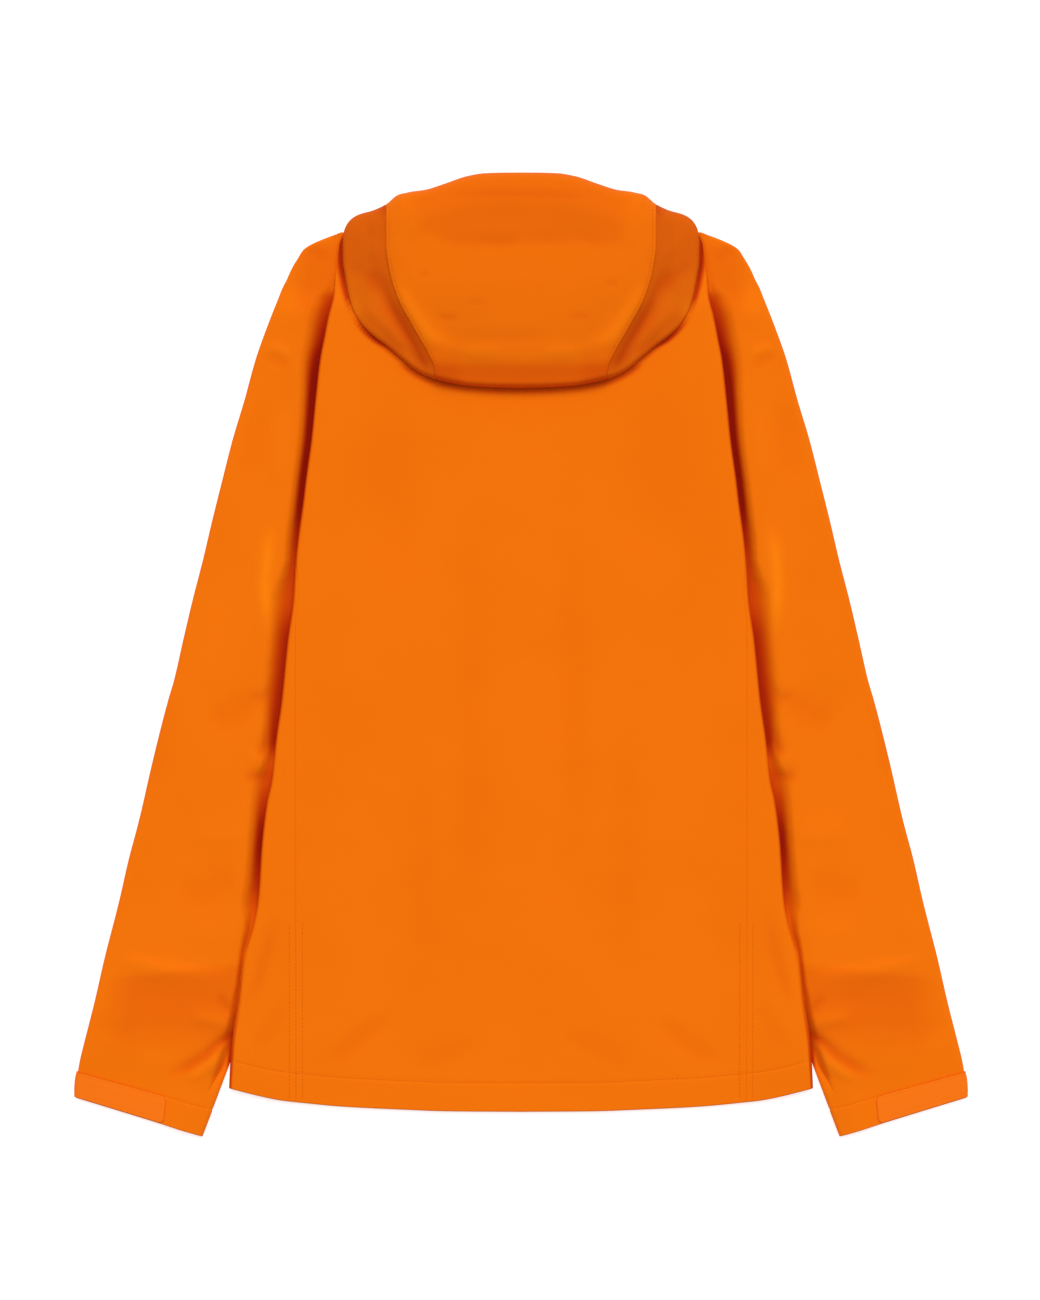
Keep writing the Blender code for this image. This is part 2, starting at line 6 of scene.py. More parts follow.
import bpy
import numpy as np
from bpy.props import FloatProperty, FloatVectorProperty, PointerProperty
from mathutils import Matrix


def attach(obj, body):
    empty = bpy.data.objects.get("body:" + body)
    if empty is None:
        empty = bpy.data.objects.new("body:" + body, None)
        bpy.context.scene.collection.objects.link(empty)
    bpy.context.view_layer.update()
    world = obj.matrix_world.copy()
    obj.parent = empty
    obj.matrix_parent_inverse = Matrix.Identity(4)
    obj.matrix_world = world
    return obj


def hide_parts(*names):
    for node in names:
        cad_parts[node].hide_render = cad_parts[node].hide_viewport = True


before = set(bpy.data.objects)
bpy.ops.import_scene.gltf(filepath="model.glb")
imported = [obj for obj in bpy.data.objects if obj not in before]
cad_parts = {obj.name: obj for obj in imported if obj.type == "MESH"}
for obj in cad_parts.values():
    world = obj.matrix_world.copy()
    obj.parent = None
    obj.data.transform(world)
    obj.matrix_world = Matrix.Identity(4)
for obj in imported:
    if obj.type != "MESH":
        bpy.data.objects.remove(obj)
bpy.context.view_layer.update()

bl_info = {
    "name": "Shell jacket",
    "version": (1, 0, 0),
    "blender": (4, 5, 0),
    "location": "3D View > Sidebar > Jacket",
    "description": "Makes the cloth, sewing and zip of a shell jacket laid flat",
    "category": "Object",
}

MM = 0.001
LENS = 85.0
SENSOR = 36.0
PICTURE_HEIGHT = 1.118  # metres of floor that the picture shows
HEM_LEVEL = -391.0
SEAM = 0.1
FLOOR_Z = 0.6
TUCKED_Z = 2.4
BACK_Z = 5.4
UNDER_LIFT = 3.6
TAB_LENGTH = 82.0
TAB_WIDTH = 22.0
CUFF_DEPTH = 22.0
FRONT_EDGE = 4.8
HEM_DEPTH = 25.0
SIDE_SEAM_X = 193.0
SEAM_ROWS = (-5.6, 5.6)
TOOTH_PITCH = 1.35
TOOTH_DROP = 0.88

# Millimetres, right half. Half-width of the body where its side folds under, by Y.
SIDE_FOLD = dict(
    y=(-391, -370, -348, -331, -297, -262, -228, -211, -159, -125, -108, -73, -39, -4, 13, 47, 82, 99,
       133, 150, 185, 219, 254, 271, 288, 308, 330, 352, 363),
    x=(250.5, 249.5, 248, 246.5, 241.3, 237.8, 228.8, 225.8, 222.2, 217.8, 214, 210.3, 205.5, 202,
       200.2, 195.4, 193.2, 191.4, 186.8, 184.8, 180, 176.6, 172.6, 169.3, 166, 161.2, 159, 156.5, 152),
)
SLEEVE_INNER = dict(
    y=(-413, -380, -353, 75, 84, 110, 140, 175, 215, 255, 292, 308, 330, 352, 363),
    x=(273.5, 261, 251, 92, 95, 112, 127, 139, 148.5, 154, 158, 163.2, 160.2, 157.2, 152.2),
)
FRONT_ARMHOLE = dict(
    y=(84, 110, 140, 175, 215, 255, 292, 308, 330, 363),
    x=(89, 104, 114, 121, 127, 132, 138, 141, 146, 152),
)
OUTLINE = dict(
    y=(-383, -366, -360, -348, -331, -297, -262, -211, -176, -142, -90, -39, -22, 13, 47, 82, 116, 150,
       185, 219, 254, 288, 305, 316, 322, 329, 336, 343, 347, 350, 353, 356, 359, 362, 364.5),
    x=(382.8, 382, 381, 378.8, 374.6, 366, 358, 345, 337, 328, 316, 303, 298, 290, 282, 273, 265, 256.5,
       247.6, 237.4, 227.8, 215.6, 208.9, 204.6, 201.4, 198.4, 194.7, 190.3, 188, 184.5, 179.3, 172.6,
       164.8, 156.2, 148.5),
)
# Rows over the sleeve: Y of the inner end and of the outline. From the armpit down it is a closed tube.
SLEEVE_ROWS = dict(
    row=tuple(range(22)),
    inner=(363.2, 348, 330, 308, 292, 255, 215, 175, 140, 110, 92, 75, 20, -35, -90, -145, -200, -250,
       -300, -345, -380, -413),
    outer=(362.3, 357, 349, 331, 306, 266, 219, 157, 119, 82, 50, 28, -16, -60, -104, -148, -192, -233,
       -275, -313, -348, -379.5),
)
ARMPIT_ROW = 11
# The crevice between the body's folded side and the sleeve: how wide it stands open, how dark the shade
# painted into it is (below 0, painted light), and how sharply that painted shade ends.
CREVICE = dict(
    y=(314, 306, 288, 271, 254, 219, 185, 133, 99, 82, 47, 13, -39, -73, -92, -108, -125, -159, -195,
       -211, -228, -246, -262, -284, -297, -314, -331, -350, -374),
    width=(2, 9, 9.5, 9.5, 9.5, 7.4, 6.4, 6, 5.6, 5, 11.5, 10.5, 10, 6, 5, 10, 8, 6.4, 7, 8, 4, 2.5,
       1.5, 2, 3.2, 3.4, 4.4, 3.8, 3),
    dark=(0, 0.5, 0.74, 0.9, 1, 1, 1, 1, 0.78, 0.6, 0.48, 0.78, 0.8, 0.8, 0.32, 0.42, 0.6, 0.94, 0.7,
       0.45, 0.2, 0.15, -0.2, 0, 0.2, 0.45, 0.62, 0.8, 0.75),
    sharp=(0, 0, 0, 0, 0.4, 1, 1, 1, 0.3, 0.3, 0, 0, 0.2, 0.6, 0.6, 0, 0.4, 0.6, 0.5, 0, 0, 0, 0, 0, 0,
       0.2, 0.4, 0.7, 0.7),
)
# The painted shadow line on the cloth under the hood's edge, by Y: how dark it is and how far it reaches out.
HOOD_LINE = dict(
    y=(228, 245, 252, 261, 270, 280, 287, 292, 298, 306, 321, 338, 356, 366),
    dark=(0.42, 0.48, 0.24, 0.44, 1, 0.72, 0.25, 0.1, 0.3, 0.72, 0.82, 0.92, 0.92, 0),
    reach=(7.6, 7.6, 5.2, 5, 5.6, 5.2, 5, 5, 5, 6, 7, 7.2, 7.2, 6),
)
HEM = dict(x=(0, 60, 104, 154, 190, 206, 216, 251), y=(-392, -391.6, -390, -387.5, -384, -382, -380, -371))
BACK_TOP = dict(x=(0, 92, 152), y=(374, 378, 363))
FRONT_TOP = dict(x=(4.8, 40, 70, 92, 152), y=(332, 343, 360, 378, 363))
COLLAR_TOP = dict(x=(0, 60, 90), y=(402, 398, 391))
UNDER_HOOD_EDGE = dict(x=(0, 60, 88, 100, 152, 160), y=(402, 398, 392, 380, 364, 361))
HOOD_OUTLINE = dict(
    x=(0, 20, 46, 67, 80.6, 91.2, 102, 115.5, 126.5, 136, 143.6, 148.4, 151, 153, 153.2, 152.4, 150.2,
       146.2, 140.5, 126, 115.5, 107.5, 104, 94, 83, 67, 46, 30, 11, 0),
    y=(228.7, 229.1, 230.7, 234.5, 238.7, 244.4, 253.1, 264.8, 273.1, 282.2, 294.6, 310.6, 324, 337.5,
       351, 361.5, 368.2, 373.5, 377.2, 381.7, 387, 394, 395.6, 396.9, 398.2, 403, 410, 412.6, 413,
       413),
)
HOOD_BOTTOM = dict(x=(0, 20, 46, 67, 80.6), y=(228.7, 229.1, 230.7, 234.5, 238.7))
HOOD_TOP = dict(
    x=(0, 11, 30, 46, 67, 83, 94, 104, 107.5, 115.5),
    y=(413, 413, 412.6, 410, 403, 398.2, 396.9, 395.6, 394, 387),
)
HOOD_SEAM = dict(y=(232, 247, 258, 280, 305, 327, 351, 390), x=(73, 74.5, 79.5, 92, 105.3, 112, 115, 115))
HOOD_SIDE_ENDS = ((76, 237.2), (117.5, 386))
# Height of the hood well inside its outline, by distance outwards from the centre panel's seam.
HOOD_HEIGHT = dict(
    out=(-115, -60, -38, -24, -14, -7, -3, 0, 3, 6, 9, 14, 20, 30, 60),
    z=(38, 37.5, 36.2, 34.4, 32, 29.4, 27.2, 24.8, 21.8, 19.2, 17.6, 17.2, 17.8, 16.6, 12),
)
ZIP_ROWS = dict(
    y=(-386, -250, -100, 50, 200, 320, 366, 378, 387),
    z=(2.2, 2.2, 2.2, 2.2, 2.2, 2.2, 2.2, 3.1, 3.1),
)
TAPE_WIDTH = 14.0


class Crease(NamedTuple):
    """A soft trough (height below 0) or ridge along a path, fading out at both ends."""

    on: str
    path: tuple
    width: float
    height: float
    lean: float = 0.0  # above 0, wider on the left of the path and steeper on the right
    tone: float = 1.0  # how strongly its painted shade or painted light shows


CREASES = (
    # back: long soft troughs down the middle, drags towards the side folds, puckers over the hem
    Crease("back", ((-40, 150), (-46, 20), (-42, -120), (-48, -250)), 15, -0.9),
    Crease("back", ((46, 170), (42, 40), (48, -110), (44, -240)), 14, -0.9),
    Crease("back", ((-12, 60), (-8, -80), (-14, -230), (-10, -330)), 13, 0.6),
    Crease("back", ((14, -20), (10, -160), (16, -300)), 11, 0.5),
    Crease("back", ((-112, 250), (-104, 150), (-110, 40)), 22, -1.0),
    Crease("back", ((110, 262), (106, 160), (112, 60)), 22, -1.0),
    Crease("back", ((-150, 30), (-152, -110), (-146, -230)), 18, 0.7),
    Crease("back", ((152, 40), (150, -100), (148, -210)), 18, 0.7),
    Crease("back", ((-84, -60), (-88, -200), (-80, -320)), 12, -0.6),
    Crease("back", ((86, -40), (90, -180), (84, -330)), 12, -0.6),
    Crease("back", ((-108, -306), (-140, -330), (-172, -356)), 8, -0.9, 0.3),
    Crease("back", ((112, -308), (143, -333), (174, -354)), 8, -0.9, -0.3),
    Crease("back", ((-209, -216), (-216, -250), (-226, -282), (-237, -304)), 6, -1.1, 0.2),
    Crease("back", ((210, -212), (217, -252), (227, -286), (238, -308)), 6, -1.1, -0.2),
    Crease("back", ((-200, -296), (-214, -322), (-234, -344)), 8, -0.7),
    Crease("back", ((202, -292), (216, -324), (236, -346)), 8, -0.7),
    Crease("back", ((-24, -326), (-60, -344), (-104, -354)), 10, -0.6),
    Crease("back", ((30, -320), (64, -340), (100, -352)), 10, -0.6),
    # sleeve: a step across it over the cuff, the deep notch below it, elbow pleats, shoulder puckers
    Crease("sleeve", ((352, -258), (314, -266), (293, -270.5), (270, -273), (240, -276)), 8, 2.6, 0.55, 0.4),
    Crease("sleeve", ((352, -284), (320, -294), (285, -300), (252, -298)), 17, -0.7),
    Crease("sleeve", ((308, -364), (286, -353), (272, -344), (261, -334), (250, -325), (236, -318)), 4.2, -3.0,
           -0.25, 0.8),
    Crease("sleeve", ((288, -310), (270, -311), (255, -314), (240, -316)), 5.5, 2.6),
    Crease("sleeve", ((262, -334), (255, -330), (248, -325), (232, -313)), 3.0, -2.0, 0, 1.4),
    Crease("sleeve", ((262, -290), (254, -298), (246, -307)), 4, -1.2),
    Crease("sleeve", ((292, -366), (276, -358), (264, -349), (254, -339)), 5, 2.0),
    Crease("sleeve", ((268, -366), (260, -357), (253, -345)), 2.6, -0.9),
    Crease("sleeve", ((368, -306), (352, -320), (330, -330)), 9, -0.6),
    Crease("sleeve", ((340, -340), (322, -348), (300, -350)), 9, 0.6),
    Crease("sleeve", ((206, -58), (216, -70), (226, -94)), 5, -2.6, 0.2),
    Crease("sleeve", ((210, -98), (222, -104), (240, -104)), 5, -2.4, 0.2),
    Crease("sleeve", ((212, -86), (222, -88), (234, -86)), 4.5, 1.8),
    Crease("sleeve", ((204, -28), (222, -38), (238, -34)), 6, -1.6),
    Crease("sleeve", ((226, -34), (248, -52), (272, -60)), 12, -1.6),
    Crease("sleeve", ((212, 118), (217, 92), (220, 60), (217, 10)), 7, 2.4, 0, 3.6),
    Crease("sleeve", ((258, 60), (262, 10), (270, -40)), 14, 0.9),
    Crease("sleeve", ((228, -146), (252, -156), (290, -152)), 12, 1.4, 0.3),
    Crease("sleeve", ((240, -186), (268, -204), (302, -206)), 14, -1.2),
    Crease("sleeve", ((236, -232), (262, -240), (296, -238)), 11, 1.0),
    Crease("sleeve", ((220, 265), (207, 262), (194, 256)), 3.6, 1.3),
    Crease("sleeve", ((222, 258), (208, 252), (196, 244)), 4, -0.6),
    Crease("sleeve", ((184, 352), (174, 345), (164, 336)), 5, -0.7),
    Crease("sleeve", ((204, 322), (197, 300), (196, 276)), 10, 1.2),
    Crease("sleeve", ((224, 222), (228, 180), (236, 140)), 12, -1.0),
    Crease("sleeve", ((204, 214), (208, 176), (210, 140)), 9, 1.2),
    Crease("sleeve", ((302, -20), (310, -70), (318, -120)), 9, -0.8),
    Crease("sleeve", ((330, -200), (338, -240), (346, -280)), 10, 0.8),
    # hood: bulge over the seam's bend, dents on the crown, drag lines in the side panels
    Crease("hood", ((-111, 326), (-103, 308), (-93, 291), (-78, 271), (-52, 256)), 7, 2.2, 0, 2.6),
    Crease("hood", ((111, 326), (103, 308), (93, 291), (78, 271), (52, 256)), 7, 2.2, 0, 2.6),
    Crease("hood", ((-88, 325), (-82, 323), (-76, 325)), 2.6, -0.5),
    Crease("hood", ((-72, 289), (-62, 286), (-52, 289)), 2.8, -0.7),
    Crease("hood", ((-50, 297), (-40, 300), (-27, 299)), 2.4, -0.4),
    Crease("hood", ((84, 313), (78, 316), (70, 315)), 2.6, -0.5),
    Crease("hood", ((62, 284), (52, 288), (38, 287)), 2.6, -0.5),
    Crease("hood", ((-70, 263), (-46, 258), (-10, 259)), 6, 0.9, 0, 2.4),
    Crease("hood", ((70, 263), (46, 258), (12, 258)), 6, 0.8, 0, 2.4),
    Crease("hood", ((-40, 284), (-8, 281), (26, 284)), 9, 0.6),
    Crease("hood", ((-60, 272), (-20, 269), (34, 272)), 6, -0.5),
    Crease("hood", ((-92, 352), (-40, 349.5), (30, 350.5), (94, 353)), 5, -0.9, 0.3),
    Crease("hood", ((-76, 388), (-30, 391), (30, 390), (78, 388)), 4, -0.8),
    Crease("hood", ((-96, 372), (-88, 360), (-86, 346)), 7, 0.9),
    Crease("hood", ((97, 373), (90, 360), (87, 344)), 7, 0.9),
    Crease("hood", ((-150, 333), (-136, 325), (-118, 318)), 6, -1.0),
    Crease("hood", ((149, 335), (135, 326), (117, 320)), 6, -1.0),
    Crease("hood", ((-142, 372), (-132, 352), (-128, 336)), 6, 0.8),
    Crease("hood", ((142, 370), (132, 351), (128, 334)), 6, 0.8),
    Crease("hood", ((-138, 300), (-124, 288), (-108, 276)), 6, 1.4),
    Crease("hood", ((137, 302), (123, 288), (107, 275)), 6, 1.4),
    Crease("hood", ((-122, 276), (-108, 265), (-96, 256)), 4, -1.0),
    Crease("hood", ((121, 276), (107, 264), (95, 256)), 4, -1.0),
)


# ---- shapes ----


def smooth(t):
    t = np.clip(t, 0.0, 1.0)
    return t * t * (3 - 2 * t)


def at(table, key, value, where):
    """The table's value between its entries, on a smooth curve that doesn't overshoot them."""
    k, v = (np.asarray(table[name], float) for name in (key, value))
    if k[0] > k[-1]:
        k, v = k[::-1], v[::-1]
    h = np.diff(k)
    d = np.diff(v) / h
    slope = np.zeros_like(v)
    slope[0], slope[-1] = d[0], d[-1]
    same = d[:-1] * d[1:] > 0
    near, far = 2 * h[1:] + h[:-1], h[1:] + 2 * h[:-1]
    before, after = np.where(same, d[:-1], 1.0), np.where(same, d[1:], 1.0)
    slope[1:-1] = np.where(same, (near + far) / (near / before + far / after), 0.0)
    where = np.clip(np.asarray(where, float), k[0], k[-1])
    i = np.clip(np.searchsorted(k, where, side="right") - 1, 0, len(h) - 1)
    t = (where - k[i]) / h[i]
    return (
        v[i] * (1 + 2 * t) * (1 - t) ** 2
        + v[i + 1] * t * t * (3 - 2 * t)
        + h[i] * (slope[i] * t * (1 - t) ** 2 - slope[i + 1] * t * t * (1 - t))
    )


def ladder(start, end, step, close=()):
    """Places from start to end, a step apart, and closer within the reach of the named places."""
    places = [start]
    while places[-1] < end - 1e-6:
        near = [fine for centre, reach, fine in close if abs(places[-1] + fine - centre) <= reach]
        places.append(places[-1] + min([step, *near]))
    places = np.array(places)
    return start + (places - start) * (end - start) / (places[-1] - start)


def run(points, axis=0):
    """Length along the points in this direction, counted from the first."""
    first = np.take(points, [0], axis=axis)
    return np.cumsum(np.linalg.norm(np.diff(points, axis=axis, prepend=first), axis=-1), axis=axis)


def from_path(path, x, y):
    """Distance to a path, signed share along it, and which side of it a point is on."""
    path = np.asarray(path, float)
    steps = np.diff(path, axis=0)
    lengths = np.hypot(steps[:, 0], steps[:, 1])
    starts = np.concatenate([[0], np.cumsum(lengths)])
    best, along, side = np.full(x.shape, 1e9), np.zeros(x.shape), np.zeros(x.shape)
    for (px, py), (dx, dy), length, start in zip(path, steps, lengths, starts):
        t = np.clip(((x - px) * dx + (y - py) * dy) / length**2, 0, 1)
        ox, oy = x - px - t * dx, y - py - t * dy
        distance = np.hypot(ox, oy)
        nearer = distance < best
        best = np.where(nearer, distance, best)
        along = np.where(nearer, (start + t * length) / starts[-1], along)
        side = np.where(nearer, dx * oy - dy * ox, side)
    return best, along, side


def creased(on, x, y):
    """Height of a piece's creases and of its slow, uneven swell."""
    x, y = np.broadcast_arrays(np.asarray(x, float), np.asarray(y, float))
    total = 0.16 * np.sin(x / 31 + 1.3 * np.sin(y / 53)) + 0.14 * np.sin(y / 37 + 1.7 * np.sin(x / 41) + 0.8)
    total = total + 0.08 * np.sin(x / 11 + y / 17) * np.sin(y / 13 - x / 23)
    for crease in CREASES:
        if crease.on != on:
            continue
        distance, along, side = from_path(crease.path, x, y)
        width = crease.width * (1 + crease.lean * np.sign(side))
        fade = smooth(along / 0.35) * smooth((1 - along) / 0.35)
        total = total + crease.height * fade * np.exp(-((distance / width) ** 2))
    return total


def crease_painted_shade(on, x, y):
    """Painted shade in a piece's troughs, above 0, and painted light on its crests, below 0."""
    total = np.zeros(np.shape(x))
    for crease in CREASES:
        if crease.on == on:
            distance, along, _ = from_path(crease.path, x, y)
            fade = smooth(along / 0.35) * smooth((1 - along) / 0.35)
            strength = (-0.32 if crease.height < 0 else -0.1) * crease.tone
            depth = np.clip(strength * crease.height / crease.width, -0.14, 0.4)
            total = total + depth * fade * np.exp(-((distance / crease.width) ** 2))
    return total


def groove(distance, width, depth):
    return -depth * np.exp(-((distance / width) ** 2))


def fold_x(y):
    return at(SIDE_FOLD, "y", "x", y)


def fold_top(y, sizes):
    """X of the top of the body's rolled fold."""
    return fold_x(y) - sizes.wall / 2 - sizes.fold_radius


def inner_x(y):
    return at(SLEEVE_INNER, "y", "x", y)


def lifted(x, y):
    """0 to 1: how far the body's under layer is lifted here by the sleeve tucked under it."""
    return smooth((np.abs(x) - inner_x(y)) / 24 + 1) * smooth((330 - y) / 22)


def under_z(x, y):
    return FLOOR_Z + UNDER_LIFT * lifted(x, y)


def back_z(x, y, sizes):
    """Middle of the back: creased, and swelling up to the rolled fold at each side."""
    near_fold = smooth((np.abs(x) - fold_x(y) + 88) / 84) ** 1.3
    top = under_z(fold_x(y) - 4, y) + 2 * sizes.fold_radius
    top = BACK_Z + (top - BACK_Z) * smooth((334 - y) / 34)
    from_hem = y - at(HEM, "x", "y", np.abs(x))
    creases = creased("back", x, y) * (1 - 0.6 * near_fold) * smooth((from_hem + 6) / 34)
    z = BACK_Z + (top - BACK_Z) * near_fold + creases
    seams = smooth((-205 - y) / 70)
    for offset in SEAM_ROWS:
        z = z + groove(np.abs(x) - SIDE_SEAM_X - offset, 1.3, 0.08) * seams * (y < 60)
    z = z + 0.25 * np.exp(-(((np.abs(x) - SIDE_SEAM_X) / 6) ** 2)) * seams
    z = z + groove(from_hem - HEM_DEPTH, 1.5, 0.25) + 0.2 * smooth((HEM_DEPTH - from_hem) / 4)
    gathers = np.sin(x / 1.15) * np.exp(-(((np.abs(x) - 120) / 17) ** 2))
    gathers = gathers + 0.35 * np.sin(x / 1.9 + np.sin(x / 23))
    return z + 0.32 * gathers * smooth(from_hem / 7) * smooth((HEM_DEPTH - from_hem) / 7)


def seam_arc(y, sizes):
    """Where the back's side seam lies, measured along the cloth from the top of the folded edge."""
    top_x = fold_top(y, sizes)
    quarter = sizes.fold_radius * math.pi / 2
    tucked = 0.96 * smooth((y - 285) / 9) * smooth((322 - y) / 12)
    return np.where(y < 45, np.minimum(SIDE_SEAM_X - top_x, 0.0), quarter * (smooth((y - 45) / 65) + tucked))


def hemmed(x, level):
    """Y of a point on the body at this level: the lowest levels bend to the hem's curve."""
    return level + (at(HEM, "x", "y", np.abs(x)) - HEM_LEVEL) * (1 - smooth((level - HEM_LEVEL) / 150))


def edge_points(level, arc, sizes, sign):
    """Points on the body's side, at a length along the cloth from the top of its folded edge."""
    level, arc = np.broadcast_arrays(level, arc)
    radius = sizes.fold_radius
    top_x = fold_top(level, sizes)
    angle = np.maximum(arc, 0) / radius
    x = top_x + np.where(arc > 0, radius * np.sin(angle), arc)
    y = hemmed(x, level)
    drop = radius * (1 - np.cos(angle)) * smooth((326 - level) / 20)
    return np.stack([x, y, back_z(sign * np.minimum(x, top_x), y, sizes) - drop], axis=-1)


# ---- cloth walls ----


def grid_ids(rows, columns, closed_from=None):
    """Point numbers of a grid. From the row closed_from on, the last column is the first."""
    ids = np.arange(rows * columns).reshape(rows, columns)
    if closed_from is not None:
        ids = ids.copy()
        ids[closed_from:, -1] = ids[closed_from:, 0]
    return ids


def quads_of(ids):
    return np.stack([ids[:-1, :-1], ids[:-1, 1:], ids[1:, 1:], ids[1:, :-1]], axis=-1).reshape(-1, 4)


def normals_of(points, quads):
    a, b, c, d = (points[quads[:, i]] for i in range(4))
    face = np.cross(c - a, d - b)
    normals = np.zeros_like(points)
    for i in range(4):
        np.add.at(normals, quads[:, i], face)
    return normals / np.maximum(np.linalg.norm(normals, axis=1, keepdims=True), 1e-12)


def mesh_object(name, points, faces, material):
    """A smooth mesh in metres from points in millimetres."""
    mesh = bpy.data.meshes.new(name)
    mesh.from_pydata((np.asarray(points) * MM).tolist(), [], [list(map(int, face)) for face in faces])
    mesh.polygons.foreach_set("use_smooth", np.ones(len(mesh.polygons), bool))
    mesh.materials.append(material)
    mesh.validate()
    obj = bpy.data.objects.new(name, mesh)
    bpy.context.scene.collection.objects.link(obj)
    return obj


def belongs(obj, nodes=(), body="jacket"):
    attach(obj, body)
    if nodes:
        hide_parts(*nodes)
    return obj


def paint_layers(obj, cut=None, dusk=None):
    """Each point's place in the cut cloth, in metres, and its painted shade: above 0 darker, below 0 lighter
    as painted light.
    """
    layer = obj.data.uv_layers.new(name="cut")
    if cut is not None:
        corners = np.empty(len(obj.data.loops), np.int32)
        obj.data.loops.foreach_get("vertex_index", corners)
        layer.uv.foreach_set("vector", cut[corners].astype(np.float32).reshape(-1))
    attribute = obj.data.attributes.new("dusk", "FLOAT", "POINT")
    if dusk is not None:
        attribute.data.foreach_set("value", dusk.astype(np.float32))


def cloth_wall(
    node, grid, finish, slot, half, held="laid", closed_from=None, flip=False, dusk=None, rests=()
):
    """A closed wall around a grid of points, in a node's place.

    Its flat size is the longest row by the longest column of the grid.
    """
    rows, columns = grid.shape[:2]
    ids = grid_ids(rows, columns, closed_from)
    quads = quads_of(ids)
    if flip:
        quads = quads[:, ::-1]
    used = np.unique(ids)
    remap = np.zeros(rows * columns, int)
    remap[used] = np.arange(len(used))
    points, quads = grid.reshape(-1, 3)[used], remap[quads]
    normals = normals_of(points, quads)
    count = len(points)
    starts = quads.reshape(-1)
    ends = np.roll(quads, -1, axis=1).reshape(-1)
    key, back_key = starts * count + ends, ends * count + starts
    rim = ~np.isin(key, back_key)
    a, b = starts[rim], ends[rim]
    faces = np.vstack([quads, quads[:, ::-1] + count, np.stack([b, a, a + count, b + count], axis=1)])
    both = np.vstack([points + normals * half, points - normals * half])
    obj = mesh_object(f"{node}_cloth", both, faces, finish_named(finish))
    across, along = run(grid, 1), run(grid, 0)
    middle = columns // 2
    place = across - across[:, [middle]], np.broadcast_to(along[:, [middle]], across.shape)
    flat = np.stack(place, axis=-1) * MM
    shade = None if dusk is None else np.tile(dusk.reshape(-1)[used], 2)
    paint_layers(obj, np.vstack([flat.reshape(-1, 2)[used]] * 2), shade)
    belongs(obj, (node,))
    return obj


SIDES = (("right", 1), ("left", -1))


def both_sides(node, grid, finish, slot, half, turned=False, rests=(), **options):
    """The same wall on the right and, mirrored, on the left. In rests, {} stands for the side."""
    for side, sign in SIDES:
        cloth_wall(f"{node}_{side}", grid * [sign, 1, 1], finish, slot, half, flip=(sign > 0) == turned,
                   rests=[name.format(side) for name in rests], **options)


def deselect():
    for obj in bpy.context.selected_objects:
        obj.select_set(False)


def edit(obj):
    """Makes this the one selected object and opens all of its mesh for editing."""
    deselect()
    bpy.context.view_layer.objects.active = obj
    obj.select_set(True)
    bpy.ops.object.mode_set(mode="EDIT")
    bpy.ops.mesh.select_all(action="SELECT")


# ---- finishes ----


CLOTHS = dict(
    # colour, its shares of red, green and blue, then weave and swell in millimetres
    shell_cloth=("shell", (1, 1, 1), 0.75, 0.22),
    hood_cloth=("hood", (1, 1, 1), 0.75, 0.3),
    # hood side panels: the hood's own cloth, coloured darker and browner as painted shade
    hood_side_cloth=("hood", (0.84, 0.79, 1.2), 0.75, 0.3),
    grip_cloth=("tab", (1, 1, 1), 1.3, 0.15),
    tape_cloth=("shell", (0.9, 0.9, 0.9), 1.1, 0.05),
    thread=("shell", (0.86, 0.86, 0.86), 0.4, 0.02),
)


def new_finish(name):
    material = bpy.data.materials.new(name)
    material.use_nodes = True
    return material, material.node_tree, material.node_tree.nodes["Principled BSDF"]


def add(tree, kind, inputs, **settings):
    """A shader node of this kind, with its settings and the values of its inputs."""
    made = tree.nodes.new("ShaderNode" + kind)
    for key, value in settings.items():
        setattr(made, key, value)
    for key, value in inputs.items():
        made.inputs[key].default_value = value
    return made


def link(tree, start, output, end, socket):
    tree.links.new(start.outputs[output], end.inputs[socket])


def between(tree, colour, low, high, factor):
    """A colour between a darker and a lighter share of this one, as the factor's noise says."""
    ends = {"A": (*[c * low for c in colour], 1), "B": (*[min(c * high, 1.0) for c in colour], 1)}
    mix = add(tree, "Mix", {}, data_type="RGBA")
    for key, value in ends.items():
        mix.inputs[key].default_value = value
    link(tree, factor, "Fac", mix, "Factor")
    return mix


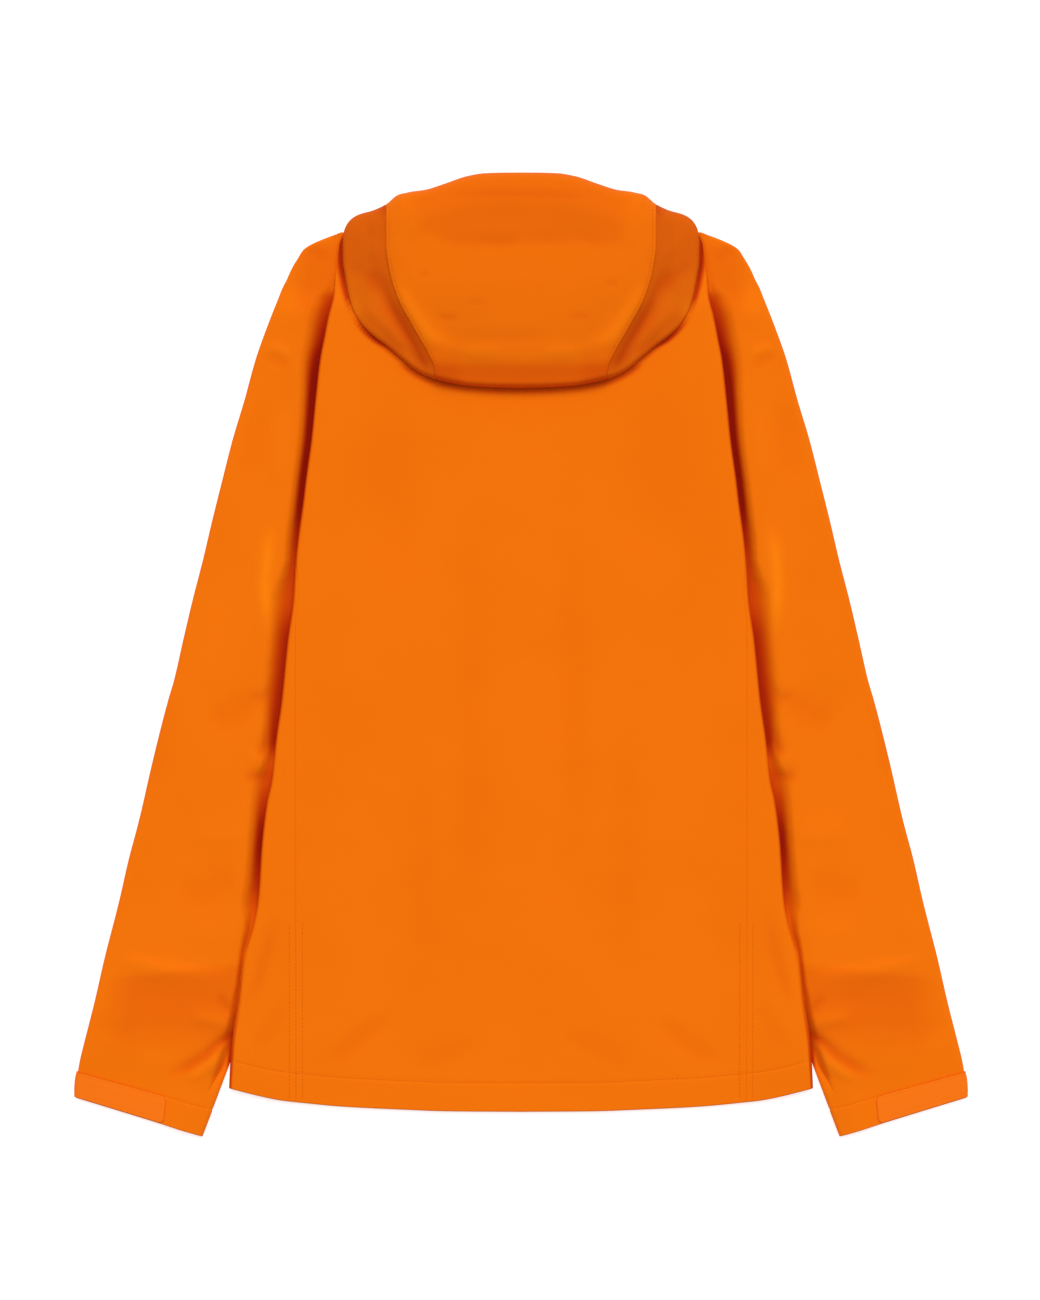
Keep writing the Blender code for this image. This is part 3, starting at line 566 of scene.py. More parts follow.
def cloth_finish(name, colour, weave, swell):
    """Woven shell cloth: fine weave and slow unevenness in the bump, some colour variation at random, and
    painted shade and painted light.
    """
    material, tree, shader = new_finish(name)
    cut = add(tree, "UVMap", {}, uv_map="cut")
    place = add(tree, "TexCoord", {})
    weft = add(tree, "Math", {}, operation="MULTIPLY")
    for i, direction in enumerate("XY"):
        waves = {"Scale": 0.314 / (weave * MM), "Distortion": 0.0}
        wave = add(tree, "TexWave", waves, bands_direction=direction)
        link(tree, cut, "UV", wave, "Vector")
        link(tree, wave, "Fac", weft, i)
    grain = add(tree, "TexNoise", {"Scale": 260.0, "Detail": 3.0})
    pucker = add(tree, "TexNoise", {"Scale": 34.0, "Detail": 2.0, "Roughness": 0.45})
    cloud = add(tree, "TexNoise", {"Scale": 9.0, "Detail": 3.0})
    for noise in (grain, pucker, cloud):
        link(tree, place, "Object", noise, "Vector")
    last = None
    for source, output, distance in ((pucker, "Fac", swell), (grain, "Fac", 0.05), (weft, "Value", 0.035)):
        bump = add(tree, "Bump", {"Strength": 1.0, "Distance": distance * MM})
        link(tree, source, output, bump, "Height")
        if last is not None:
            link(tree, last, "Normal", bump, "Normal")
        last = bump
    link(tree, last, "Normal", shader, "Normal")
    tone = between(tree, colour, 0.955, 1.03, cloud)
    # Painted shade from the dusk attribute: it darkens the colour, green and blue faster than red so the shade
    # grows redder; below 0 it lightens the colour as painted light.
    dusk = add(tree, "Attribute", {}, attribute_name="dusk")
    shade = add(tree, "Math", {1: -0.7, 2: 1.0}, operation="MULTIPLY_ADD")
    link(tree, dusk, "Fac", shade, 0)
    redder = add(tree, "Math", {1: 2.8}, operation="POWER")
    link(tree, shade, "Value", redder, 0)
    depth = add(tree, "CombineColor", {})
    for source, channel in ((shade, "Red"), (redder, "Green"), (redder, "Blue")):
        link(tree, source, "Value", depth, channel)
    painted_shade_mix = add(tree, "Mix", {"Factor": 1.0}, data_type="RGBA", blend_type="MULTIPLY")
    link(tree, tone, "Result", painted_shade_mix, "A")
    link(tree, depth, "Color", painted_shade_mix, "B")
    link(tree, painted_shade_mix, "Result", shader, "Base Color")
    look = {"Roughness": 0.82, "Specular IOR Level": 0.05, "Sheen Weight": 0.05, "Sheen Roughness": 0.4}
    for key, value in look.items():
        shader.inputs[key].default_value = value
    shader.inputs["Sheen Tint"].default_value = (1.0, 0.36, 0.05, 1)
    return material


def metal_finish(name, colour):
    """Painted die-cast metal: fine orange peel, rubbed a little."""
    material, tree, shader = new_finish(name)
    speck = add(tree, "TexNoise", {"Scale": 900.0})
    link(tree, add(tree, "TexCoord", {}), "Object", speck, "Vector")
    link(tree, between(tree, colour, 0.8, 1.25, speck), "Result", shader, "Base Color")
    bump = add(tree, "Bump", {"Distance": 0.02 * MM})
    link(tree, speck, "Fac", bump, "Height")
    link(tree, bump, "Normal", shader, "Normal")
    shader.inputs["Metallic"].default_value = 0.85
    shader.inputs["Roughness"].default_value = 0.44
    return material


def finish_named(name):
    """The finish of this name, made once."""
    if name in bpy.data.materials:
        return bpy.data.materials[name]
    colours = bpy.context.scene.jacket_colours
    if name == "slider_paint":
        return metal_finish(name, colours.metal)
    source, shares, weave, swell = CLOTHS[name]
    return cloth_finish(name, [c * share for c, share in zip(getattr(colours, source), shares)], weave, swell)


# ---- settings ----


class JacketSizes(bpy.types.PropertyGroup):
    """Sizes in millimetres."""

    wall: FloatProperty(
        name="Cloth", description="Thickness of the cloth wall (mm)", default=1.1, min=0.4, max=2.0)
    fold_radius: FloatProperty(
        name="Side fold", description="Middle radius of the body's rolled side fold (mm)",
        default=3.9, min=1.5, max=6.0)
    sleeve_height: FloatProperty(
        name="Sleeve", description="Height of the sleeve's upper wall clear of the body (mm)",
        default=9.0, min=4.0, max=14.0)
    sleeve_crest: FloatProperty(
        name="Sleeve crest", description="How much higher the sleeve swells beside the fold (mm)",
        default=2.6, min=0.0, max=6.0)
    stitch: FloatProperty(
        name="Stitch", description="Length of one stitch (mm)", default=2.7, min=1.5, max=5.0)
    step: FloatProperty(
        name="Mesh step", description="Spacing of the cloth's points (mm)", default=3.2, min=2.0, max=12.0)


class JacketColours(bpy.types.PropertyGroup):
    """Linear colours."""

    shell: FloatVectorProperty(
        name="Shell", description="Body and sleeves", subtype="COLOR",
        default=(0.89, 0.17, 0.0015), min=0, max=1)
    hood: FloatVectorProperty(
        name="Hood", description="Hood panels", subtype="COLOR",
        default=(0.87, 0.162, 0.0015), min=0, max=1)
    tab: FloatVectorProperty(
        name="Cuff tab", description="Cuff tabs", subtype="COLOR",
        default=(0.93, 0.178, 0.006), min=0, max=1)
    metal: FloatVectorProperty(
        name="Zip metal", description="Slider and pull tab", subtype="COLOR",
        default=(0.2, 0.2, 0.21), min=0, max=1)


class JACKET_OT_studio(bpy.types.Operator):
    """Pale floor, soft light from above the shoulders, and the camera straight over the jacket"""

    bl_idname = "jacket.studio"
    bl_label = "Studio"

    def execute(self, context):
        scene = context.scene
        scene.view_settings.view_transform = "Standard"
        camera = bpy.data.objects.new("camera", bpy.data.cameras.new("camera"))
        camera.data.lens, camera.data.sensor_width, camera.data.sensor_fit = LENS, SENSOR, "AUTO"
        camera.data.clip_end = 20.0
        camera.location = (-0.0009, 0.0043, PICTURE_HEIGHT * LENS / SENSOR)
        scene.collection.objects.link(camera)
        scene.camera = camera
        key = bpy.data.objects.new("key", bpy.data.lights.new("key", "SUN"))
        key.data.energy, key.data.angle = 2.05, math.radians(38)
        key.rotation_euler = (math.radians(-24), math.radians(3), 0)
        scene.collection.objects.link(key)
        world = bpy.data.worlds.new("studio")
        world.use_nodes = True
        world.node_tree.nodes["Background"].inputs["Color"].default_value = (1, 1, 1, 1)
        world.node_tree.nodes["Background"].inputs["Strength"].default_value = 0.42
        scene.world = world
        deselect()
        bpy.ops.mesh.primitive_plane_add(size=9.0, location=(0, 0, -0.0004))
        floor = context.object
        floor.name = "floor"
        material = bpy.data.materials.new("floor")
        material.use_nodes = True
        shader = material.node_tree.nodes["Principled BSDF"]
        shader.inputs["Base Color"].default_value = (0.55, 0.55, 0.55, 1)
        shader.inputs["Roughness"].default_value = 0.9
        shader.inputs["Specular IOR Level"].default_value = 0.1
        shader.inputs["Emission Color"].default_value = (1, 1, 1, 1)
        shader.inputs["Emission Strength"].default_value = 0.62
        floor.data.materials.append(material)
        return {"FINISHED"}


# ---- body ----


def body_levels(sizes, top, close=()):
    fine = ((HEM_LEVEL, 5.0, 1.4), (HEM_LEVEL + HEM_DEPTH, 4.5, 0.9), *close)
    return ladder(HEM_LEVEL, top, sizes.step, close=fine)[:, None]


def back_half(sizes, sign):
    """Half of the back, as if it were the right half; its creases are those of the side that sign gives."""
    level = body_levels(sizes, 344.0, ((258.0, 38.0, 1.5),))
    end = seam_arc(level, sizes)
    top_x = fold_top(level, sizes)
    rounded = np.minimum(end, 0.0) - 8.0
    x = (top_x + rounded) * np.linspace(0, 1, int(round(185 / sizes.step)) + 1)[None, :-1]
    y = hemmed(x, level)
    flat = np.stack([x, y, back_z(sign * x, y, sizes)], axis=-1)
    edge = edge_points(level, rounded + (end - rounded) * np.linspace(0, 1, 17)[None, :], sizes, sign)
    grid = np.concatenate([flat, edge], axis=1)
    top = []
    for below in (14.0, 10.0, 7.0, 4.6, 3.0, 1.8, 1.0, 0.6):
        row = grid[-1].copy()
        row[:, 0] *= fold_x(363 - below) / fold_x(344)
        row[:, 1] = at(BACK_TOP, "x", "y", row[:, 0]) - below
        t = min((below - 0.6) / 4.0, 1.0)
        turned = 1 - math.sqrt(1 - (1 - t) ** 2)
        row[:, 2] -= (row[:, 2] - 1.5) * turned * smooth((row[:, 0] - 84) / 12)
        top.append(row)
    return np.concatenate([grid, np.array(top)])


def hood_painted_shadow(x, y):
    """Painted shadow: a dark line on the cloth just outside the hood's edge."""
    distance = from_path(OUTLINE_LINE, np.abs(x), y)[0]
    fading = 1 - smooth((distance - 0.6) / (at(HOOD_LINE, "y", "reach", y) - 0.6))
    return np.where(y < 372, at(HOOD_LINE, "y", "dark", y) * fading * (0.6 + 0.4 * smooth(distance / 2)), 0)


def rolled_painted_shade(grid, dusk, sizes):
    """This painted shade, or the crevice's painted shade where the cloth rolls down into it and that is
    darker.
    """
    roll = (np.abs(grid[..., 0]) - fold_top(grid[..., 1], sizes)) / sizes.fold_radius
    return np.maximum(dusk, 0.6 * at(CREVICE, "y", "dark", grid[..., 1]) * smooth((roll - 0.5) / 0.5))


class JACKET_OT_back(bpy.types.Operator):
    """The back panel, from side seam to side seam"""

    bl_idname = "jacket.back"
    bl_label = "Back"

    def execute(self, context):
        sizes = context.scene.jacket_sizes
        left = back_half(sizes, -1) * [-1, 1, 1]
        grid = np.concatenate([left[:, :0:-1], back_half(sizes, 1)], axis=1)
        # Painted shadow under the hood's edge, painted shade and painted light along the creases, and painted
        # shade where the cloth rolls into the crevice.
        dusk = hood_painted_shadow(grid[..., 0], grid[..., 1]) + crease_painted_shade("back", grid[..., 0], grid[..., 1])
        cloth_wall("back", grid, "shell_cloth", "shell", sizes.wall / 2, dusk=rolled_painted_shade(grid, dusk, sizes),
                   rests=("front_left", "front_right"))
        return {"FINISHED"}


def side_end_x(level, sizes):
    """Where the side panel ends on the front, at the front panel's seam."""
    low = np.where(level < 80, inner_x(level) - 26, inner_x(level))
    return np.minimum(low, fold_top(level, sizes) - 8)


def side_half(sizes, sign):
    """A side panel: lapped under the back's edge, over the roll of the fold, and flat beneath it."""
    level = body_levels(sizes, 287.0)
    start = seam_arc(level, sizes) - 1.8
    bend = np.maximum(start + 7.5, 0.0)
    close = start + np.linspace(0, 7.0, 15)[None, :]
    open_part = start + 7.0 + (bend - start - 7.0) * np.linspace(0, 1, 17)[None, 1:]
    round_end = math.pi * sizes.fold_radius
    turn = bend + np.maximum(round_end - bend, 0.5) * np.linspace(0, 1, 13)[None, 1:]
    arcs = np.concatenate([close, open_part, turn], axis=1)
    arcs = np.minimum(arcs, round_end - 0.02 * np.arange(arcs.shape[1])[::-1][None, :])
    grid = edge_points(level, arcs, sizes, sign)
    angle = np.maximum(arcs, 0) / sizes.fold_radius
    sunk = (1.0 + 0.15 * smooth((level - 40) / 20)) * (1 - smooth((arcs - start - 0.8) / 2.4))
    grid[..., 0] -= sunk * np.sin(angle)
    grid[..., 2] -= sunk * np.cos(angle)
    top_x = fold_top(level, sizes)
    low = side_end_x(level, sizes)
    x = top_x - 0.6 + (low - top_x + 0.6) * np.linspace(0, 1, 12)[None, :]
    under = np.stack([x, hemmed(x, level), under_z(x, np.broadcast_to(level, x.shape))], axis=-1)
    join = smooth(np.linspace(0, 1, 12)[None, :] * 1.5)
    under[..., 2] = grid[:, -1:, 2] * (1 - join) + under[..., 2] * join
    return np.concatenate([grid, under], axis=1)


class JACKET_OT_sides(bpy.types.Operator):
    """The side panels, rolled round the body's folded edges"""

    bl_idname = "jacket.sides"
    bl_label = "Side panels"

    def execute(self, context):
        sizes = context.scene.jacket_sizes
        for side, sign in SIDES:
            grid = side_half(sizes, sign) * [sign, 1, 1]
            # Painted shade and painted light along the creases, and painted shade where the side rolls down
            # into the crevice.
            dusk = crease_painted_shade("back", grid[..., 0], grid[..., 1])
            cloth_wall(f"side_{side}", grid, "shell_cloth", "shell", sizes.wall / 2, flip=sign < 0,
                       dusk=rolled_painted_shade(grid, dusk, sizes), rests=(f"sleeve_{side}", f"front_{side}"))
        return {"FINISHED"}


def front_half(sizes):
    y = ladder(HEM_LEVEL, 330.0, 2 * sizes.step)[:, None]
    edge = np.where(y < 80, side_end_x(y, sizes) - 0.03, at(FRONT_ARMHOLE, "y", "x", y))
    shares = np.linspace(0, 1, 28)[None, :]
    x = FRONT_EDGE + (edge - FRONT_EDGE) * shares
    grid = np.stack([x, hemmed(x, y), np.full(x.shape, FLOOR_Z)], axis=-1)
    top_x = FRONT_EDGE + (151.5 - FRONT_EDGE) * shares[0]
    top_y = at(FRONT_TOP, "x", "y", top_x) - SEAM
    above = np.arange(len(grid))[::-1][:, None] + 1
    grid[..., 1] = np.minimum(grid[..., 1], top_y[None, :] - 3.0 * above)
    top = np.stack([top_x, top_y, np.full(top_x.shape, FLOOR_Z)], axis=-1)
    return np.concatenate([grid, top[None]])


class JACKET_OT_fronts(bpy.types.Operator):
    """The two fronts, flat on the floor, and the collar turned under the hood"""

    bl_idname = "jacket.fronts"
    bl_label = "Fronts and collar"

    def execute(self, context):
        sizes = context.scene.jacket_sizes
        both_sides("front", front_half(sizes), "shell_cloth", "shell", sizes.wall / 2)
        outer, radius = 92.0 - 0.6 - 2.4, 2.4
        strip = [(x, FLOOR_Z, 0.0) for x in np.linspace(FRONT_EDGE + SEAM, outer, 22)]
        strip += [(outer + radius * math.sin(a), FLOOR_Z + radius * (1 - math.cos(a)), a / math.pi)
                  for a in np.linspace(0, math.pi, 11)[1:-1]]
        strip += [(x, BACK_Z, 1.0) for x in np.linspace(outer, 0.0, 24)]
        strip = np.array(strip + [(-x, z, share) for x, z, share in strip[-2::-1]])
        x, z, share = strip.T
        front, back = (at(table, "x", "y", np.abs(x)) for table in (FRONT_TOP, BACK_TOP))
        low = front * (1 - share) + back * share + SEAM
        low = low + 1.2 * ((share > 0) & (share < 1) | (np.abs(x) >= outer - 0.01))
        high = at(COLLAR_TOP, "x", "y", np.abs(x))
        levels = np.linspace(0, 1, 9)
        grid = np.array([np.stack([x, low + (high - low) * level, z], axis=-1) for level in levels])
        cloth_wall("collar", grid, "shell_cloth", "shell", sizes.wall / 2, flip=True, held="folded",
                   rests=("front_left", "front_right"))
        return {"FINISHED"}


# ---- sleeves ----


def crossings(start, end):
    """How far along each sleeve row the body's folded edge lies over it."""
    share = np.linspace(0, 1, 401)[None, :]
    x = start[:, :1] + (end[:, :1] - start[:, :1]) * share
    y = start[:, 1:] + (end[:, 1:] - start[:, 1:]) * share
    clear = (x > fold_x(y)) | (y < -372)
    first = np.where(clear.any(axis=1), clear.argmax(axis=1), 0)
    return np.maximum(np.linalg.norm(end - start, axis=1) * first / 400, 2.6)


def sleeve_z(x, y, past, rest, sizes):
    """Middle of the sleeve's upper wall: low beside the body's fold, then a crest, then flat."""
    wide = at(CREVICE, "y", "width", y)
    free = np.maximum(smooth((past - 0.35 * wide) / (1.3 * wide + 2.5)), smooth((-352 - y) / 26))
    crest = sizes.sleeve_crest * np.exp(-(((past - 16) / 15) ** 2)) * smooth((320 - y) / 40)
    full = sizes.sleeve_height + crest
    full = full - 2.6 * smooth((-330 - y) / 50)
    full = full + (BACK_Z + 0.6 - full) * smooth((y - 292) / 24)
    inside = smooth(rest / 16) * free
    seam = BACK_Z * smooth((y - 292) / 34)
    under_back = 1.15 * smooth((y - 300) / 16) * (1 - smooth((x - fold_x(y) + 0.6) / 2.6))
    level = np.maximum(TUCKED_Z, seam) * (1 - free) + full * free
    return level - under_back + creased("sleeve", x, y) * inside


def sleeve_grid(rows, sizes):
    """Rows over the sleeve: from the inner end along its upper wall, round the outline, back underneath."""
    inner_y = at(SLEEVE_ROWS, "row", "inner", rows)
    outer_y = at(SLEEVE_ROWS, "row", "outer", rows)
    lap = 3.2 * smooth((inner_y - 290) / 14)
    upper_end = np.stack([inner_x(inner_y) - lap, inner_y], axis=-1)
    apart = smooth((inner_y - 75) / 15)
    lower_x = inner_x(inner_y) * (1 - apart) + (at(FRONT_ARMHOLE, "y", "x", inner_y) + SEAM) * apart
    lower_end = np.stack([lower_x, inner_y], axis=-1)
    outline = np.stack([at(OUTLINE, "y", "x", outer_y), outer_y], axis=-1)
    length = np.linalg.norm(outline - upper_end, axis=1)[:, None]
    lower_length = np.linalg.norm(outline - lower_end, axis=1)[:, None]
    upper, lower = (outline - upper_end) / length, (outline - lower_end) / lower_length
    crossing = crossings(upper_end, outline)[:, None]
    closed = (rows >= ARMPIT_ROW)[:, None]

    def on_upper(along):
        x, y = (upper_end[:, i : i + 1] + upper[:, i : i + 1] * along for i in (0, 1))
        return np.stack([x, y, sleeve_z(x, y, along - crossing, length - along, sizes)], axis=-1)

    def on_lower(along):
        x, y = (lower_end[:, i : i + 1] + lower[:, i : i + 1] * along for i in (0, 1))
        return np.stack([x, y, np.full(x.shape, FLOOR_Z)], axis=-1)

    half = sizes.wall / 2
    tip = np.full(length.shape, 3.0)
    for _ in range(4):
        tip = (on_upper(half + tip)[..., 2] - FLOOR_Z) / 2
    angles = np.linspace(math.pi / 2, 0, 5)[None, :]
    turn = np.where(closed, half + tip * (1 - np.sin(angles)), np.linspace(0, 1.6, 5)[None, :])
    start = on_upper(turn)
    start[..., 2] = np.where(closed, FLOOR_Z + tip * (1 + np.cos(angles)), start[..., 2])
    end = on_lower(turn[:, ::-1])
    end[..., 2] = np.where(closed, FLOOR_Z + tip * (1 - np.cos(angles))[:, ::-1], FLOOR_Z)
    first = np.where(closed, half + tip, 1.6)
    rim = (on_upper(length - 4.0)[..., 2] - FLOOR_Z) / 2
    last = length - half - rim
    rise_start = np.maximum(crossing, first + 6.0)
    rise = np.minimum(15.0, (last - rise_start) * 0.6)
    hidden = first + (rise_start - first) * np.linspace(0, 1, 12)[None, 1:-1]
    rising = rise_start + rise * np.linspace(0, 1, 15)[None, :]
    count = int(round(96 / sizes.step))
    crown = rising[:, -1:] + (last - rising[:, -1:]) * np.linspace(0, 1, count + 1)[None, 1:]
    wall = on_upper(np.concatenate([hidden, rising, crown], axis=1))
    angles = np.radians(np.linspace(90, -90, 13))[None, 1:]
    out = half + rim * (1 - np.cos(angles))
    share = (math.pi / 2 - angles) / math.pi
    step = upper[:, None, :] + (lower - upper)[:, None, :] * share[..., None]
    bend_xy = outline[:, None, :] - step * out[..., None]
    top_z = wall[:, -1:, 2]
    bend_z = FLOOR_Z + (top_z - FLOOR_Z) / 2 * (1 + np.sin(angles))
    bend = np.concatenate([bend_xy, bend_z[..., None]], axis=-1)
    back = lower_length - half - rim
    under = on_lower(back + (first - back) * np.linspace(0, 1, 16)[None, 1:-1])
    return np.concatenate([start, wall, bend, under, end], axis=1), 5 + wall.shape[1] + 6


def sleeve_rows(sizes):
    """Places of the rows, evenly spaced along the outline and close together at the cuff's stitch line."""
    fine = np.linspace(0, 21, 2101)
    outer_y = at(SLEEVE_ROWS, "row", "outer", fine)
    line = np.stack([at(OUTLINE, "y", "x", outer_y), outer_y], axis=-1)
    arc = run(line)
    marks = ladder(0.0, arc[-1], sizes.step, close=((arc[-1] - CUFF_DEPTH, 4.5, 0.9), (arc[-1], 4.0, 1.2)))
    rows = np.interp(marks, arc, fine)
    nearest = int(np.argmin(np.abs(rows - ARMPIT_ROW)))
    rows[nearest] = ARMPIT_ROW
    return rows, nearest, arc[-1] - marks


def dressed_sleeve(sizes):
    rows, closed_from, from_cuff = sleeve_rows(sizes)
    grid, outline_column = sleeve_grid(rows, sizes)
    grid[closed_from:, -1] = grid[closed_from:, 0]
    ids = grid_ids(*grid.shape[:2], closed_from)
    normals = normals_of(grid.reshape(-1, 3), quads_of(ids)).reshape(grid.shape)
    if normals[len(rows) // 2, 30, 2] < 0:
        normals = -normals
    dent = groove(from_cuff - CUFF_DEPTH, 1.1, 0.35) + 0.2 * smooth((CUFF_DEPTH - from_cuff) / 2)
    upper = np.zeros(grid.shape[1])
    upper[: outline_column + 4] = 1
    grid = grid + normals * (dent[:, None] * upper[None, :])[..., None]
    grid[closed_from:, -1] = grid[closed_from:, 0]
    return grid, normals, closed_from, outline_column, from_cuff


class JACKET_OT_sleeves(bpy.types.Operator):
    """The sleeves, from the armholes to the cuffs"""

    bl_idname = "jacket.sleeves"
    bl_label = "Sleeves"

    def execute(self, context):
        sizes = context.scene.jacket_sizes
        grid, _, closed_from, outline_column, _ = dressed_sleeve(sizes)
        x, y = grid[..., 0], grid[..., 1]
        past = np.maximum(x - fold_x(y), 0)
        # Painted shade: dark in the crevice beside the body's fold, fading out across the sleeve, in the
        # creases' troughs, below the step over the cuff and on the shoulder cap; painted light on the crests
        # and where the crevice's dark is below 0.
        wide = at(CREVICE, "y", "width", y)
        sharp = at(CREVICE, "y", "sharp", y)
        fading = 1 - smooth((past / wide - 0.15 - 0.4 * sharp) / (1.35 - 0.4 * sharp))
        dusk = at(CREVICE, "y", "dark", y) * fading
        cuff_painted_shade = 0.1 * smooth((-268 + 0.1 * (310 - x) - y) / 9) * smooth((y + 352) / 44)
        cuff_painted_shade = cuff_painted_shade * smooth((364 - x) / 34)
        shoulder_painted_shade = 0.08 * smooth((y - 268) / 40) * smooth((360 - y) / 16) * smooth((200 - x) / 20)
        dusk = dusk + (1 - dusk) * (crease_painted_shade("sleeve", x, y) + cuff_painted_shade + shoulder_painted_shade)
        dusk[:, outline_column:] = 0
        both_sides("sleeve", grid, "shell_cloth", "shell", sizes.wall / 2, turned=True,
                   closed_from=closed_from, dusk=dusk, rests=("front_{}",))
        return {"FINISHED"}


class JACKET_OT_cuff_tabs(bpy.types.Operator):
    """The cuff tabs, lying on the sleeves' own points and over their outer edges"""

    bl_idname = "jacket.cuff_tabs"
    bl_label = "Cuff tabs"

    def execute(self, context):
        sizes = context.scene.jacket_sizes
        rows, _, from_cuff = sleeve_rows(sizes)
        fine = ((0.7, 2, 0.6), (TAB_WIDTH, 2, 0.6), (3.2, 1.2, 0.7), (TAB_WIDTH - 2.8, 1.2, 0.7))
        wanted = ladder(0.7, TAB_WIDTH, 1.6, close=fine)
        grid, outline_column = sleeve_grid(np.interp(-wanted, -from_cuff, rows), sizes)
        lines = []
        for row, height in zip(grid, wanted):
            arc = run(row)
            arc = arc - arc[outline_column]
            corner = min(height - 0.7, TAB_WIDTH - height)
            short = 5.0 - math.sqrt(max(25.0 - (5.0 - min(corner, 5.0)) ** 2, 0.0))
            places = -TAB_LENGTH + short + (TAB_LENGTH - short + 1.5) * np.linspace(0, 1, 46)
            lines.append(np.stack([np.interp(places, arc, row[:, axis]) for axis in range(3)], axis=-1))
        lines = np.array(lines)
        out = np.cross(np.gradient(lines, axis=0), np.gradient(lines, axis=1))
        out /= np.maximum(np.linalg.norm(out, axis=2, keepdims=True), 1e-9)
        out *= np.sign(out[len(lines) // 2, 10, 2])
        to_side = np.minimum(wanted - 0.7, TAB_WIDTH - wanted)
        border = np.minimum(to_side[:, None], np.linspace(0, TAB_LENGTH + 1.5, 46)[None, :])
        lift = sizes.wall / 2 + SEAM + 0.6 + groove(border - 2.6, 0.9, 0.25) + 0.25 * smooth(border / 2.5)
        grid = lines + out * lift[..., None]
        both_sides("cuff_tab", grid, "grip_cloth", "tab_cloth", 0.6, rests=("sleeve_{}",))
        return {"FINISHED"}


# ---- hood ----


def hood_outline():
    """The hood's outline, right half, as many short steps on a smooth curve."""
    corners = np.column_stack([HOOD_OUTLINE["x"], HOOD_OUTLINE["y"]]).astype(float)
    arc = run(corners)
    places = np.linspace(0, arc[-1], 260)
    return np.stack([at(dict(s=arc, v=corners[:, axis]), "s", "v", places) for axis in (0, 1)], axis=-1)


OUTLINE_LINE = hood_outline()
ROLL_STEPS = np.array([0.0, 0.5, 1.2, 2.2, 3.6, 5.4, 7.6, 10.2, 13.2, 16.5])


def hood_z(x, y, sizes):
    edge = at(UNDER_HOOD_EDGE, "x", "y", np.abs(x)) + 9
    under = (back_z(x, np.minimum(y, 352.0), sizes) + sizes.wall / 2) * smooth((edge + 7 - y) / 7)
    base = under + sizes.wall / 2 + 0.3
    out = np.abs(x) - at(HOOD_SEAM, "y", "x", y)
    centre, crown_end = smooth((8 - out) / 40), smooth((y - 330) / 60)
    inside = np.maximum(from_path(OUTLINE_LINE, np.abs(x), y)[0] - sizes.wall / 2, 0.0)
    t = np.clip(inside / (3.0 + 6.0 * crown_end), 0.0, 1.0)
    share = 0.8 - 0.06 * centre * (1 - crown_end)
    crown = at(HOOD_HEIGHT, "out", "z", out) + creased("hood", x, y)
    crown = crown + 3.0 * smooth((y - 352) / 50) * smooth(-out / 30)
    crown = crown + 4.5 * smooth((y - 316) / 30) * np.exp(-(((out - 9) / 7) ** 2))
    crown = crown - 11.0 * centre * (1 - smooth((y - 229) / 95))
    rise = share * np.sqrt(1 - (1 - t) ** 2) + (1 - share) * smooth(inside / (14 + 16 * centre))
    return base + (crown - base) * rise


def hood_places(low, high, sizes):
    """Y of the hood's rows between its outline's two sides, close together where it rolls over."""
    edge = ROLL_STEPS[None, :] + sizes.wall / 2
    middle = np.linspace(0, 1, 52)[None, 1:-1]
    low, high = low[:, None], high[:, None]
    inner = edge[:, -1:]
    between_edges = low + inner + (high - low - 2 * inner) * middle
    return np.concatenate([low + edge, between_edges, high - edge[:, ::-1]], axis=1)


